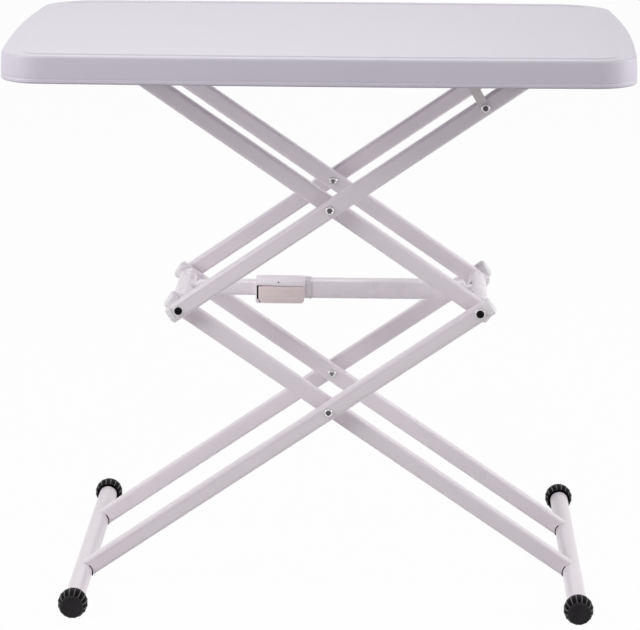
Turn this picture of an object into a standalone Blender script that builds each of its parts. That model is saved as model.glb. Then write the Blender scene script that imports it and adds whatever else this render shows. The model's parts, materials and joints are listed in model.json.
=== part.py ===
# Folding table: a hollow moulded top carried by a double scissor frame of steel tubes.
# Metres, +Z up, the front faces -Y, and the origin lies on the floor under the top's centre.

from math import asin, cos, pi, radians, sin

import bmesh
import bpy
from mathutils import Vector

# Gap kept between pieces that touch
FIT = 0.0003

# Moulded top
TOP_WIDTH = 0.7665
TOP_DEPTH = 0.524
TOP_CORNER = 0.048
TOP_END_BOW = 0.007
TOP_SIDE_BOW = 0.006
TOP_EDGE = 0.004
TOP_WALL = 0.0024
SLAB_THICKNESS = 0.026
SKIRT_DROP = 0.0082
SKIRT_WIDTH = 0.014
GROOVE_INSET = 0.022
GROOVE_WIDTH = 0.004
GROOVE_DEPTH = 0.0012
BEAD_HEIGHT = 0.005
BEAD_DEPTH = 0.0006
VENT_RADIUS = 0.004
CHANNEL_INSET = 0.034
CHANNEL_WIDTH = 0.012
CHANNEL_DEPTH = 0.0010

# Scissor frame, measured along each arm from its crossing
OPEN_ANGLE = radians(34.5)
FOLDED_ANGLE = radians(3.0)
KNEE_REACH = 0.228
FOOT_REACH = 0.378
TOP_REACH = 0.296
ARM_HEIGHT = 0.021
ARM_DEPTH = 0.018
ARM_WALL = 0.0012
ARM_CORNER = 0.003
ARM_GAP = 0.004
ARM_TAIL = 0.007
TOP_TAIL = 0.009
INNER_ARM_Y = 0.0865

# Plastic plugs in the arm ends at the knees
PLUG_LENGTH = 0.016
PLUG_ROUND = 0.0025
UPPER_OUTER_CAP = 0.0080
UPPER_INNER_CAP = 0.0096
LOWER_OUTER_CAP = 0.0118
LOWER_INNER_CAP = 0.0110

# Pivots
RIVET_RADIUS = 0.004
RIVET_HEAD_RADIUS = 0.0054
RIVET_HEAD = 0.0028
RIVET_CLINCH = 0.0018
RIVET_SOCKET_RADIUS = 0.0024
RIVET_SOCKET = 0.0016
SPACER_RADIUS = 0.0085
AXLE_RADIUS = 0.004
AXLE_HEAD_RADIUS = 0.0056
AXLE_HEAD = 0.003
CROSS_TUBE_RADIUS = 0.009
CROSS_TUBE_WALL = 0.0015

# Feet
FOOT_LENGTH = 0.509
FOOT_TUBE_RADIUS = 0.012
FOOT_TUBE_WALL = 0.0015
FOOT_CAP_RADIUS = 0.018
FOOT_CAP_LENGTH = 0.0315
FOOT_CAP_END = 0.004
FOOT_CAP_FACE = 0.0118
FOOT_CAP_SHOULDER = 0.0150
FOOT_CAP_SHOULDER_SET = 0.0022
FOOT_CAP_WIDEST = (0.009, 0.018)
FOOT_CAP_BACK = 0.0148
FOOT_RIBS = 16
FOOT_RIB_DEPTH = 0.0012

# Rails under the top and the rods that slide in them
RAIL_DROP = 0.016
RAIL_SHEET = 0.0025
RAIL_FLANGE = 0.018
RAIL_LIP = 0.0035
RAIL_END = 0.012
RAIL_BEND = 0.003
RAIL_CLEARANCE = 0.0012
RAIL_SCREW_RADIUS = 0.0025
SLIDE_ROD_RADIUS = 0.005
SLIDE_HEAD_RADIUS = 0.0068
SLIDE_HEAD = 0.002
SLIDE_PLAY = 0.0018

# Stays: short straps from the right rails to the upper outer arms
STAY_REACH = 0.2301
STAY_ANGLE = radians(58.8)
STAY_PIVOT_X = 0.1797
STAY_WIDTH = 0.0120
STAY_SHEET = 0.0025
STAY_PIN_RADIUS = 0.003
STAY_SHOULDER_RADIUS = 0.0055
STAY_HEAD = 0.0016

# Telescoping lock bar, hung between the knees a little above their axes
LOCK_RISE = 0.0048
LOCK_OUTER_HEIGHT = 0.022
LOCK_OUTER_DEPTH = 0.028
LOCK_OUTER_WALL = 0.002
LOCK_WALL = 0.0012
LOCK_CORNER = 0.003
LOCK_SLIDE_GAP = 0.0005
LOCK_OUTER_REACH = 0.2214
LOCK_GRIP = 0.045
LOOP_WALL = 0.0012
LOOP_WIDTH = 0.018
LOOP_NECK = 0.010
LOOP_REACH = 0.018
LOOP_PLUG = 0.020
LOCK_SETTINGS = 6
LOCK_PITCH = 0.013
LOCK_SLOT_LENGTH = 0.006
LOCK_SLOT_DEPTH = 0.010

# Lock housing, heights measured from the bar's axis
HOUSING_LENGTH = 0.0625
HOUSING_TOP = 0.0126
HOUSING_BOTTOM = 0.0169
HOUSING_DEPTH = 0.036
HOUSING_ROUND = 0.003
HOUSING_FLOOR = 0.0015
HOUSING_LIP = 0.0013
COLLAR_LENGTH = 0.008
COLLAR_WALL = 0.0014
BOSS_HALF = 0.0022
BOSS_DROP = 0.0020

# Release lever under the housing
LEVER_WALL = 0.002
LEVER_FLOOR = 0.0023
LEVER_RISE = 0.0050
LEVER_ROUND = 0.005
LEVER_GAP = 0.0004
LEVER_END_GAP = 0.0022
LEVER_SWING = radians(3.5)
LEVER_PIVOT = 0.0283
LEVER_AXIS_DROP = 0.0122
LEVER_PIN_RADIUS = 0.0012
LEVER_PIN_HEAD = 0.0008
LEVER_PIN_HEAD_RADIUS = 0.0024
TOOTH_SETBACK = 0.0132
TOOTH_LENGTH = 0.004
TOOTH_DEPTH = 0.008
TOOTH_CLEARANCE = 0.0015
SPRING_OFFSET = 0.012
SPRING_RADIUS = 0.0024
SPRING_WIRE = 0.0003
SPRING_TURNS = 2

# Smoothness of round shapes
ROUND_STEPS = 16
SMALL_STEPS = 12
BORE_STEPS = 12
CORNER_STEPS = 2
TURN_STEPS = 3
FOOT_STEPS = 20

# Places that follow from the sizes above
RISE = sin(OPEN_ANGLE)
RUN = cos(OPEN_ANGLE)
FOOT_Z = FOOT_CAP_RADIUS
LOWER_Z = FOOT_Z + FOOT_REACH * RISE
KNEE_Z = LOWER_Z + KNEE_REACH * RISE
UPPER_Z = KNEE_Z + KNEE_REACH * RISE
RAIL_Z = UPPER_Z + TOP_REACH * RISE
UNDERSIDE_Z = RAIL_Z + RAIL_DROP
TOP_Z = UNDERSIDE_Z + SLAB_THICKNESS
SKIRT_Z = UNDERSIDE_Z - SKIRT_DROP
STAY_ARM = TOP_REACH - STAY_REACH
STAY_LENGTH = STAY_ARM * RISE / sin(STAY_ANGLE)
FRAME_X = STAY_PIVOT_X + STAY_LENGTH * cos(STAY_ANGLE) - STAY_REACH * RUN
FOLDED_STAY = asin(STAY_ARM * sin(FOLDED_ANGLE) / STAY_LENGTH)
FOLDED_X = STAY_PIVOT_X + STAY_LENGTH * cos(FOLDED_STAY) - STAY_REACH * cos(FOLDED_ANGLE)
LOCK_TRAVEL = 2.0 * KNEE_REACH * (cos(FOLDED_ANGLE) - RUN)

OUTER_ARM_Y = INNER_ARM_Y + ARM_DEPTH + ARM_GAP
INNER_FACE_Y = INNER_ARM_Y - ARM_DEPTH / 2
GAP_Y = INNER_ARM_Y + ARM_DEPTH / 2
OUTER_FACE_Y = OUTER_ARM_Y + ARM_DEPTH / 2
STAY_Y = OUTER_FACE_Y + FIT
STAY_FACE_Y = STAY_Y + STAY_SHEET
RAIL_Y = STAY_FACE_Y + FIT + RIVET_HEAD + RAIL_CLEARANCE
RAIL_FACE_Y = RAIL_Y + RAIL_SHEET
RAIL_BOTTOM_Z = RAIL_Z - SLIDE_ROD_RADIUS - FIT - SLIDE_PLAY - RAIL_LIP

LOWER_CROSSING = Vector((FRAME_X, 0, LOWER_Z))
UPPER_CROSSING = Vector((FRAME_X, 0, UPPER_Z))
LEFT_KNEE = Vector((FRAME_X - KNEE_REACH * RUN, 0, KNEE_Z))
RIGHT_KNEE = Vector((FRAME_X + KNEE_REACH * RUN, 0, KNEE_Z))
LEFT_FOOT = Vector((FRAME_X - FOOT_REACH * RUN, 0, FOOT_Z))
RIGHT_FOOT = Vector((FRAME_X + FOOT_REACH * RUN, 0, FOOT_Z))
LEFT_SLIDE = Vector((FRAME_X - TOP_REACH * RUN, 0, RAIL_Z))
RIGHT_SLIDE = Vector((FRAME_X + TOP_REACH * RUN, 0, RAIL_Z))
STAY_PIVOT = Vector((STAY_PIVOT_X, 0, RAIL_Z))
STAY_JOINT = UPPER_CROSSING + STAY_REACH * Vector((RUN, 0, RISE))

LOCK_Z = KNEE_Z + LOCK_RISE
LOCK_INNER_HEIGHT = LOCK_OUTER_HEIGHT - 2 * (LOCK_OUTER_WALL + LOCK_SLIDE_GAP)
LOCK_INNER_DEPTH = LOCK_OUTER_DEPTH - 2 * (LOCK_OUTER_WALL + LOCK_SLIDE_GAP)
TUBE_UNDERSIDE_Z = LOCK_Z - LOCK_INNER_HEIGHT / 2
HOUSING_RIGHT = RIGHT_KNEE.x - LOCK_OUTER_REACH
HOUSING_LEFT = HOUSING_RIGHT - HOUSING_LENGTH
HOUSING_FLOOR_Z = TUBE_UNDERSIDE_Z - LOCK_SLIDE_GAP - HOUSING_FLOOR
LEVER_LEFT = HOUSING_LEFT + HOUSING_LIP + LEVER_END_GAP
LEVER_RIGHT = HOUSING_RIGHT - LEVER_GAP
LEVER_FLOOR_Z = LOCK_Z - HOUSING_BOTTOM + LEVER_FLOOR
LEVER_AXIS = Vector((HOUSING_LEFT + LEVER_PIVOT, 0, LOCK_Z - LEVER_AXIS_DROP))
TOOTH_X = HOUSING_RIGHT - TOOTH_SETBACK
SPRING_X = LEVER_AXIS.x - SPRING_OFFSET

# The body that carries each group of pieces, its parent and its joint
BODY_AXES = (
    ("stays", None, STAY_PIVOT),
    ("upper_outer", "stays", STAY_JOINT),
    ("upper_inner", "upper_outer", UPPER_CROSSING),
    ("lower_inner", "upper_outer", LEFT_KNEE),
    ("lower_outer", "upper_inner", RIGHT_KNEE),
    ("lock_inner", "upper_outer", LEFT_KNEE),
    ("lock_outer", "upper_inner", RIGHT_KNEE),
    ("lever", "lock_outer", LEVER_AXIS),
)
SIDES = (("front", -1), ("rear", 1))

bodies = {}
materials = {}


def clear_scene():
    for item in list(bpy.data.objects):
        bpy.data.objects.remove(item)


def make_material(name, color, roughness, metallic):
    material = bpy.data.materials.new(name)
    material.use_nodes = True
    shader = material.node_tree.nodes["Principled BSDF"]
    shader.inputs["Base Color"].default_value = (*color, 1.0)
    shader.inputs["Roughness"].default_value = roughness
    shader.inputs["Metallic"].default_value = metallic
    materials[name] = material


def make_bodies():
    for name, parent, axis in BODY_AXES:
        empty = bpy.data.objects.new(name + "_axis", None)
        bpy.context.collection.objects.link(empty)
        empty.location = axis
        if parent:
            empty.parent = bodies[parent][0]
            empty.location = axis - bodies[parent][1]
        bodies[name] = (empty, axis)


def add_object(name, bm, material=None, body=None, place=Vector((0, 0, 0)), tilt=0.0):
    bmesh.ops.recalc_face_normals(bm, faces=bm.faces)
    mesh = bpy.data.meshes.new(name)
    bm.to_mesh(mesh)
    bm.free()
    mesh.shade_smooth()
    mesh.set_sharp_from_angle(angle=radians(35))
    item = bpy.data.objects.new(name, mesh)
    bpy.context.collection.objects.link(item)
    item.location = place
    item.rotation_euler = (0, tilt, 0)
    if material:
        mesh.materials.append(materials[material])
    if body:
        item.parent = bodies[body][0]
        item.location = place - bodies[body][1]
    return item


def add_cutter(name, bm, place=Vector((0, 0, 0)), tilt=0.0):
    item = add_object(name, bm, place=place, tilt=tilt)
    item.hide_render = True
    item.display_type = "WIRE"
    return item


def combine(item, other, operation="DIFFERENCE"):
    modifier = item.modifiers.new(other.name, "BOOLEAN")
    modifier.operation = operation
    modifier.solver = "EXACT"
    modifier.object = other


def skin(rings, closed=False):
    # Walls between rings of equal count; the ends are capped, or the last ring meets the first
    bm = bmesh.new()
    rows = [[bm.verts.new(point) for point in ring] for ring in rings]
    pairs = list(zip(rows, rows[1:]))
    if closed:
        pairs.append((rows[-1], rows[0]))
    for low, high in pairs:
        for i in range(len(low)):
            j = (i + 1) % len(low)
            bm.faces.new((low[i], low[j], high[j], high[i]))
    if not closed:
        bm.faces.new(rows[0])
        bm.faces.new(rows[-1])
    return bm


def arc(centre, radius, start, end, steps):
    angles = [start + (end - start) * i / steps for i in range(steps + 1)]
    return [(centre[0] + radius * cos(a), centre[1] + radius * sin(a)) for a in angles]


def rounded_rectangle(width, height, radius, steps=CORNER_STEPS):
    points = []
    for i, (sx, sy) in enumerate(((1, 1), (-1, 1), (-1, -1), (1, -1))):
        centre = (sx * (width / 2 - radius), sy * (height / 2 - radius))
        points += arc(centre, radius, i * pi / 2, (i + 1) * pi / 2, steps)
    return points


def along_x(points, x):
    return [Vector((x, u, v)) for u, v in points]


def circle_y(radius, y, steps):
    points = arc((0, 0), radius, 0, 2 * pi, steps)[:-1]
    return [Vector((u, y, v)) for u, v in points]


def turned(profile, steps, closed=False):
    # Revolve (radius, y) pairs round the Y axis
    return skin([circle_y(radius, y, steps) for radius, y in profile], closed)


def plate_y(outline, low, high):
    # Extrude an outline in the XZ plane from y = low to y = high
    bm = bmesh.new()
    face = bm.faces.new([bm.verts.new((u, low, v)) for u, v in outline])
    extruded = bmesh.ops.extrude_face_region(bm, geom=[face])
    moved = [g for g in extruded["geom"] if isinstance(g, bmesh.types.BMVert)]
    bmesh.ops.translate(bm, verts=moved, vec=(0, high - low, 0))
    return bm


def box(low, high):
    outline = ((low[0], low[2]), (high[0], low[2]), (high[0], high[2]), (low[0], high[2]))
    return plate_y(outline, low[1], high[1])


def slot_outline(start, end, radius, steps):
    # A slot with round ends between two points on one level line
    right = arc(end, radius, -pi / 2, pi / 2, steps)
    left = arc(start, radius, pi / 2, 3 * pi / 2, steps)
    return right + left


def bore_cutter(name, place, radius, steps=BORE_STEPS):
    reach = RAIL_FACE_Y + RAIL_FLANGE
    return add_cutter(name, turned(((radius, -reach), (radius, reach)), steps), place)


def top_ring(inset, z):
    # The plan is a rounded rectangle whose sides swell outwards by the bows
    width = TOP_WIDTH - 2 * TOP_END_BOW
    depth = TOP_DEPTH - 2 * TOP_SIDE_BOW
    corner_steps = 5
    end_steps = 6
    side_steps = 8
    outline = []
    signs = ((1, 1), (-1, 1), (-1, -1), (1, -1))
    for i, (sx, sy) in enumerate(signs):
        centre = (sx * (width / 2 - TOP_CORNER), sy * (depth / 2 - TOP_CORNER))
        turn = arc(centre, TOP_CORNER - inset, i * pi / 2, (i + 1) * pi / 2, corner_steps)
        nx, ny = signs[(i + 1) % 4]
        following = (nx * (width / 2 - TOP_CORNER), ny * (depth / 2 - TOP_CORNER))
        steps = side_steps if i % 2 == 0 else end_steps
        step_x = (following[0] - centre[0]) / steps
        step_y = (following[1] - centre[1]) / steps
        last = turn[-1]
        outline += turn
        outline += [(last[0] + step_x * k, last[1] + step_y * k) for k in range(1, steps)]
    ring = []
    for x, y in outline:
        swell_x = TOP_END_BOW * (1 - (2 * y / depth) ** 2) * 2 * x / width
        swell_y = TOP_SIDE_BOW * (1 - (2 * x / width) ** 2) * 2 * y / depth
        ring.append(Vector((x + swell_x, y + swell_y, z)))
    return ring


def make_top():
    half_edge = TOP_EDGE * (1 - cos(pi / 4))
    groove_middle = GROOVE_INSET + GROOVE_WIDTH / 2
    profile = (
        (GROOVE_INSET + GROOVE_WIDTH, TOP_Z),
        (groove_middle, TOP_Z - GROOVE_DEPTH),
        (GROOVE_INSET, TOP_Z),
        (TOP_EDGE, TOP_Z),
        (half_edge, TOP_Z - half_edge),
        (0, TOP_Z - TOP_EDGE),
        (0, SKIRT_Z + BEAD_HEIGHT + 2 * BEAD_DEPTH),
        (BEAD_DEPTH, SKIRT_Z + BEAD_HEIGHT),
        (0, SKIRT_Z + TOP_EDGE),
        (half_edge, SKIRT_Z + half_edge),
        (TOP_EDGE, SKIRT_Z),
        (SKIRT_WIDTH, SKIRT_Z),
        (SKIRT_WIDTH + SKIRT_DROP / 4, UNDERSIDE_Z),
        (CHANNEL_INSET, UNDERSIDE_Z),
        (CHANNEL_INSET + CHANNEL_DEPTH, UNDERSIDE_Z + CHANNEL_DEPTH),
        (CHANNEL_INSET + CHANNEL_WIDTH - CHANNEL_DEPTH, UNDERSIDE_Z + CHANNEL_DEPTH),
        (CHANNEL_INSET + CHANNEL_WIDTH, UNDERSIDE_Z),
    )
    top = add_object("table_top", skin([top_ring(*step) for step in profile]), "top_plastic")
    cavity_inset = SKIRT_WIDTH + SKIRT_DROP / 4 + TOP_WALL
    cavity = skin((
        top_ring(cavity_inset, UNDERSIDE_Z + TOP_WALL),
        top_ring(TOP_WALL, UNDERSIDE_Z + cavity_inset),
        top_ring(TOP_WALL + TOP_EDGE, TOP_Z - TOP_WALL),
    ))
    combine(top, add_cutter("top_cavity", cavity))
    vent = bmesh.new()
    bmesh.ops.create_cone(vent, segments=BORE_STEPS, cap_ends=True, radius1=VENT_RADIUS,
                          radius2=VENT_RADIUS, depth=4 * TOP_WALL)
    combine(top, add_cutter("top_vent", vent, Vector((0, 0, UNDERSIDE_Z))))


def make_rail(name, side, slot_low, slot_high, cutters):
    # A bent sheet angle: the flange lies under the top, the web carries the slot
    reach = SLIDE_ROD_RADIUS + FIT + RAIL_END
    low = slot_low - reach
    high = slot_high + reach
    top = UNDERSIDE_Z - FIT
    outer = RAIL_Y + RAIL_FLANGE
    bend = arc((RAIL_Y + RAIL_BEND, top - RAIL_BEND), RAIL_BEND, pi / 2, pi, CORNER_STEPS + 1)
    inner_bend = RAIL_BEND - RAIL_SHEET
    inside = arc((RAIL_Y + RAIL_BEND, top - RAIL_BEND), inner_bend, pi, pi / 2, CORNER_STEPS + 1)
    section = [(outer, top)] + bend
    section += [(RAIL_Y, RAIL_BOTTOM_Z), (RAIL_FACE_Y, RAIL_BOTTOM_Z)]
    section += inside + [(outer, top - RAIL_SHEET)]
    rings = [[Vector((x, side * u, v)) for u, v in section] for x in (low, high)]
    rail = add_object(name, skin(rings), "zinc_sheet")
    for cutter in cutters:
        combine(rail, cutter)
    screw_y = (RAIL_FACE_Y + outer) / 2
    for label, x in (("a", low + RAIL_END), ("b", high - RAIL_END)):
        hole = bmesh.new()
        bmesh.ops.create_cone(hole, segments=SMALL_STEPS, cap_ends=True, radius1=RAIL_SCREW_RADIUS,
                              radius2=RAIL_SCREW_RADIUS, depth=4 * RAIL_SHEET)
        place = Vector((x, side * screw_y, top))
        combine(rail, add_cutter(f"{name}_screw_{label}", hole, place))


def make_slot(name, low, high):
    radius = SLIDE_ROD_RADIUS + FIT + SLIDE_PLAY / 2
    z = RAIL_Z - SLIDE_PLAY / 2
    outline = slot_outline((low - FIT, z), (high + FIT, z), radius, SMALL_STEPS // 2)
    reach = RAIL_FACE_Y + RAIL_FLANGE
    return add_cutter(name, plate_y(outline, -reach, reach))


def make_rails(stay_bore):
    left = sorted((LEFT_SLIDE.x, FOLDED_X - TOP_REACH * cos(FOLDED_ANGLE)))
    right = sorted((RIGHT_SLIDE.x, FOLDED_X + TOP_REACH * cos(FOLDED_ANGLE)))
    left_slot = make_slot("left_slot", *left)
    right_slot = make_slot("right_slot", *right)
    stay_end = STAY_PIVOT_X + SLIDE_ROD_RADIUS - STAY_WIDTH / 2
    for label, side in SIDES:
        make_rail(f"left_rail_{label}", side, *left, (left_slot,))
        make_rail(f"right_rail_{label}", side, stay_end, right[1], (right_slot, stay_bore))


def make_stays(pivot_bore, joint_bore):
    along = (STAY_JOINT - STAY_PIVOT).normalized()
    for label, side in SIDES:
        outline = slot_outline((0, 0), (STAY_LENGTH, 0), STAY_WIDTH / 2, SMALL_STEPS // 2)
        bm = plate_y(outline, side * STAY_Y, side * STAY_FACE_Y)
        tilt = asin(-along.z)
        stay = add_object(f"stay_{label}", bm, "white_steel", "stays", STAY_PIVOT, tilt)
        combine(stay, pivot_bore)
        combine(stay, joint_bore)
        inner = STAY_Y
        shoulder = STAY_FACE_Y + FIT
        web = RAIL_Y - FIT
        outer = RAIL_FACE_Y + FIT
        pin = (
            (STAY_PIN_RADIUS, inner),
            (STAY_PIN_RADIUS, shoulder),
            (STAY_SHOULDER_RADIUS, shoulder),
            (STAY_SHOULDER_RADIUS, web),
            (STAY_PIN_RADIUS, web),
            (STAY_PIN_RADIUS, outer),
            (STAY_SHOULDER_RADIUS, outer),
            (STAY_PIN_RADIUS, outer + STAY_HEAD),
        )
        pin = [(radius, side * y) for radius, y in pin]
        add_object(f"stay_pin_{label}", turned(pin, SMALL_STEPS), "rivet_steel", None, STAY_PIVOT)
        make_rivet(f"stay_rivet_{label}", "upper_outer", STAY_JOINT, side,
                   OUTER_ARM_Y - ARM_DEPTH / 2 - FIT, STAY_FACE_Y + FIT)


def make_rivet(name, body, place, side, inner, outer):
    # Clinched at the inner end, with a round head and a hollow core at the outer end
    head = outer + RIVET_HEAD
    profile = (
        (RIVET_RADIUS, inner - RIVET_CLINCH),
        (RIVET_HEAD_RADIUS, inner - RIVET_CLINCH / 2),
        (RIVET_HEAD_RADIUS, inner),
        (RIVET_RADIUS, inner),
        (RIVET_RADIUS, outer),
        (RIVET_HEAD_RADIUS, outer),
        (RIVET_HEAD_RADIUS, outer + RIVET_HEAD / 2),
        ((RIVET_HEAD_RADIUS + RIVET_SOCKET_RADIUS) / 2, head),
        (RIVET_SOCKET_RADIUS, head),
        (RIVET_SOCKET_RADIUS, head - RIVET_SOCKET),
    )
    bm = turned([(radius, side * y) for radius, y in profile], SMALL_STEPS)
    add_object(name, bm, "rivet_steel", body, place)


def make_spacer(name, body, place, side, bore):
    low = side * (GAP_Y + FIT)
    high = side * (GAP_Y + ARM_GAP - FIT)
    profile = ((SPACER_RADIUS, low), (SPACER_RADIUS, high), (bore, high), (bore, low))
    add_object(name, turned(profile, SMALL_STEPS, True), "nylon", body, place)


def make_arm(name, body, crossing, tilt, start, end, y, cutters):
    outer = rounded_rectangle(ARM_DEPTH, ARM_HEIGHT, ARM_CORNER)
    inner = rounded_rectangle(ARM_DEPTH - 2 * ARM_WALL, ARM_HEIGHT - 2 * ARM_WALL,
                              ARM_CORNER - ARM_WALL)
    rings = (along_x(outer, start), along_x(outer, end), along_x(inner, end), along_x(inner, start))
    place = crossing + Vector((0, y, 0))
    arm = add_object(name, skin(rings, True), "white_steel", body, place, tilt)
    for cutter in cutters:
        combine(arm, cutter)


def make_knee_plug(name, body, crossing, tilt, end, cap, y, bore):
    # The flange covers the tube's end; the plug fills the tube and takes the axle
    way = 1 if end > 0 else -1
    inside = 2 * (ARM_WALL + FIT)
    plug = rounded_rectangle(ARM_DEPTH - inside, ARM_HEIGHT - inside, ARM_CORNER - ARM_WALL)
    flange = rounded_rectangle(ARM_DEPTH, ARM_HEIGHT, ARM_CORNER)
    slim = rounded_rectangle(ARM_DEPTH - 2 * PLUG_ROUND, ARM_HEIGHT - 2 * PLUG_ROUND, ARM_CORNER)
    seat = end + way * FIT
    rings = (
        along_x(plug, end - way * PLUG_LENGTH),
        along_x(plug, seat),
        along_x(flange, seat),
        along_x(flange, end + way * (cap - PLUG_ROUND)),
        along_x(slim, end + way * cap),
    )
    place = crossing + Vector((0, y, 0))
    item = add_object(name, skin(rings), "cap_plastic", body, place, tilt)
    combine(item, bore)


def make_frame(bores):
    knee_end = KNEE_REACH + ARM_TAIL
    top_end = TOP_REACH + TOP_TAIL
    # name, crossing, tilt, span, distance of the arms from the middle, knee end, cap, cutters
    frames = (
        ("upper_outer", UPPER_CROSSING, -OPEN_ANGLE, (-knee_end, top_end), OUTER_ARM_Y, -knee_end,
         UPPER_OUTER_CAP, ("upper", "left_knee", "right_slide", "stay_joint")),
        ("upper_inner", UPPER_CROSSING, OPEN_ANGLE, (-top_end, knee_end), INNER_ARM_Y, knee_end,
         UPPER_INNER_CAP, ("upper", "right_knee", "left_slide")),
        ("lower_outer", LOWER_CROSSING, -OPEN_ANGLE, (-FOOT_REACH, knee_end), OUTER_ARM_Y, knee_end,
         LOWER_OUTER_CAP, ("lower", "right_knee", "left_foot")),
        ("lower_inner", LOWER_CROSSING, OPEN_ANGLE, (-knee_end, FOOT_REACH), INNER_ARM_Y, -knee_end,
         LOWER_INNER_CAP, ("lower", "left_knee", "right_foot")),
    )
    for name, crossing, tilt, span, y, plug_end, cap, cuts in frames:
        knee = bores["left_knee"] if plug_end < 0 else bores["right_knee"]
        for label, side in SIDES:
            make_arm(f"{name}_arm_{label}", name, crossing, tilt, *span, side * y,
                     [bores[cut] for cut in cuts])
            make_knee_plug(f"{name}_knee_cap_{label}", name, crossing, tilt, plug_end, cap, side * y,
                           knee)


def make_pivots():
    for label, side in SIDES:
        inner = INNER_FACE_Y - FIT
        outer = OUTER_FACE_Y + FIT
        make_rivet(f"upper_cross_rivet_{label}", "upper_outer", UPPER_CROSSING, side, inner, outer)
        make_rivet(f"lower_cross_rivet_{label}", "lower_outer", LOWER_CROSSING, side, inner, outer)
        bore = RIVET_RADIUS + FIT
        make_spacer(f"upper_cross_spacer_{label}", "upper_outer", UPPER_CROSSING, side, bore)
        make_spacer(f"lower_cross_spacer_{label}", "lower_outer", LOWER_CROSSING, side, bore)
        bore = AXLE_RADIUS + FIT
        make_spacer(f"left_knee_spacer_{label}", "lower_inner", LEFT_KNEE, side, bore)
        make_spacer(f"right_knee_spacer_{label}", "upper_inner", RIGHT_KNEE, side, bore)
    make_knee("left", "lower_inner", LEFT_KNEE)
    make_knee("right", "upper_inner", RIGHT_KNEE)


def make_knee(name, body, place):
    face = OUTER_FACE_Y + FIT
    half = (
        (AXLE_RADIUS, face),
        (AXLE_HEAD_RADIUS, face),
        (AXLE_HEAD_RADIUS, face + AXLE_HEAD / 2),
        (AXLE_RADIUS, face + AXLE_HEAD),
    )
    profile = [(radius, -y) for radius, y in reversed(half)] + list(half)
    add_object(f"{name}_knee_axle", turned(profile, SMALL_STEPS), "black_steel", body, place)
    end = INNER_FACE_Y - FIT
    inner = CROSS_TUBE_RADIUS - CROSS_TUBE_WALL
    tube = ((CROSS_TUBE_RADIUS, -end), (CROSS_TUBE_RADIUS, end), (inner, end), (inner, -end))
    add_object(f"{name}_cross_tube", turned(tube, ROUND_STEPS, True), "white_steel", body, place)


def make_slide_rods():
    face = RAIL_FACE_Y + FIT
    half = (
        (SLIDE_ROD_RADIUS, face),
        (SLIDE_HEAD_RADIUS, face),
        (SLIDE_HEAD_RADIUS, face + SLIDE_HEAD),
    )
    profile = [(radius, -y) for radius, y in reversed(half)] + list(half)
    for name, body, place in (("left", "upper_inner", LEFT_SLIDE), ("right", "upper_outer", RIGHT_SLIDE)):
        add_object(f"{name}_slide_rod", turned(profile, SMALL_STEPS), "rivet_steel", body, place)


def ribbed_ring(radius, depth, y, steps):
    # Crests at every rib, one of them straight down, where the foot meets the floor
    ring = []
    for i in range(steps):
        angle = -pi / 2 + 2 * pi * i / steps
        wave = (1 - cos(FOOT_RIBS * (angle + pi / 2))) / 2
        r = radius - depth * wave
        ring.append(Vector((r * cos(angle), y, r * sin(angle))))
    return ring


def make_feet():
    half = FOOT_LENGTH / 2
    tube_end = half - FOOT_CAP_END - FIT
    steps = 2 * FOOT_RIBS
    inner = FOOT_TUBE_RADIUS - FOOT_TUBE_WALL
    bore = FOOT_TUBE_RADIUS + FIT
    feet = (("left", "lower_outer", LEFT_FOOT), ("right", "lower_inner", RIGHT_FOOT))
    for name, body, place in feet:
        tube = ((FOOT_TUBE_RADIUS, -tube_end), (FOOT_TUBE_RADIUS, tube_end), (inner, tube_end),
                (inner, -tube_end))
        add_object(f"{name}_foot_tube", turned(tube, FOOT_STEPS, True), "white_steel", body, place)
        for label, side in SIDES:
            barrel = [
                (FOOT_CAP_FACE, 0, 0),
                (FOOT_CAP_SHOULDER, FOOT_RIB_DEPTH / 2, FOOT_CAP_SHOULDER_SET),
                *[(FOOT_CAP_RADIUS, FOOT_RIB_DEPTH, set_back) for set_back in FOOT_CAP_WIDEST],
                (FOOT_CAP_BACK, FOOT_RIB_DEPTH / 2, FOOT_CAP_LENGTH),
                (bore, 0, FOOT_CAP_LENGTH),
                (bore, 0, FOOT_CAP_END),
            ]
            rings = [ribbed_ring(radius, depth, side * (half - set_back), steps)
                     for radius, depth, set_back in barrel]
            add_object(f"{name}_foot_cap_{label}", skin(rings), "black_rubber", body, place)


def lock_section(depth, height, shrink, corner):
    return rounded_rectangle(depth - 2 * shrink, height - 2 * shrink, max(corner - shrink, FIT))


def make_lock_tube(name, body, start, end, depth, height, wall):
    outer = lock_section(depth, height, 0, LOCK_CORNER)
    inner = lock_section(depth, height, wall, LOCK_CORNER)
    rings = (along_x(outer, start), along_x(outer, end), along_x(inner, end), along_x(inner, start))
    return add_object(name, skin(rings, True), "white_steel", body, Vector((0, 0, LOCK_Z)))


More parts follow.
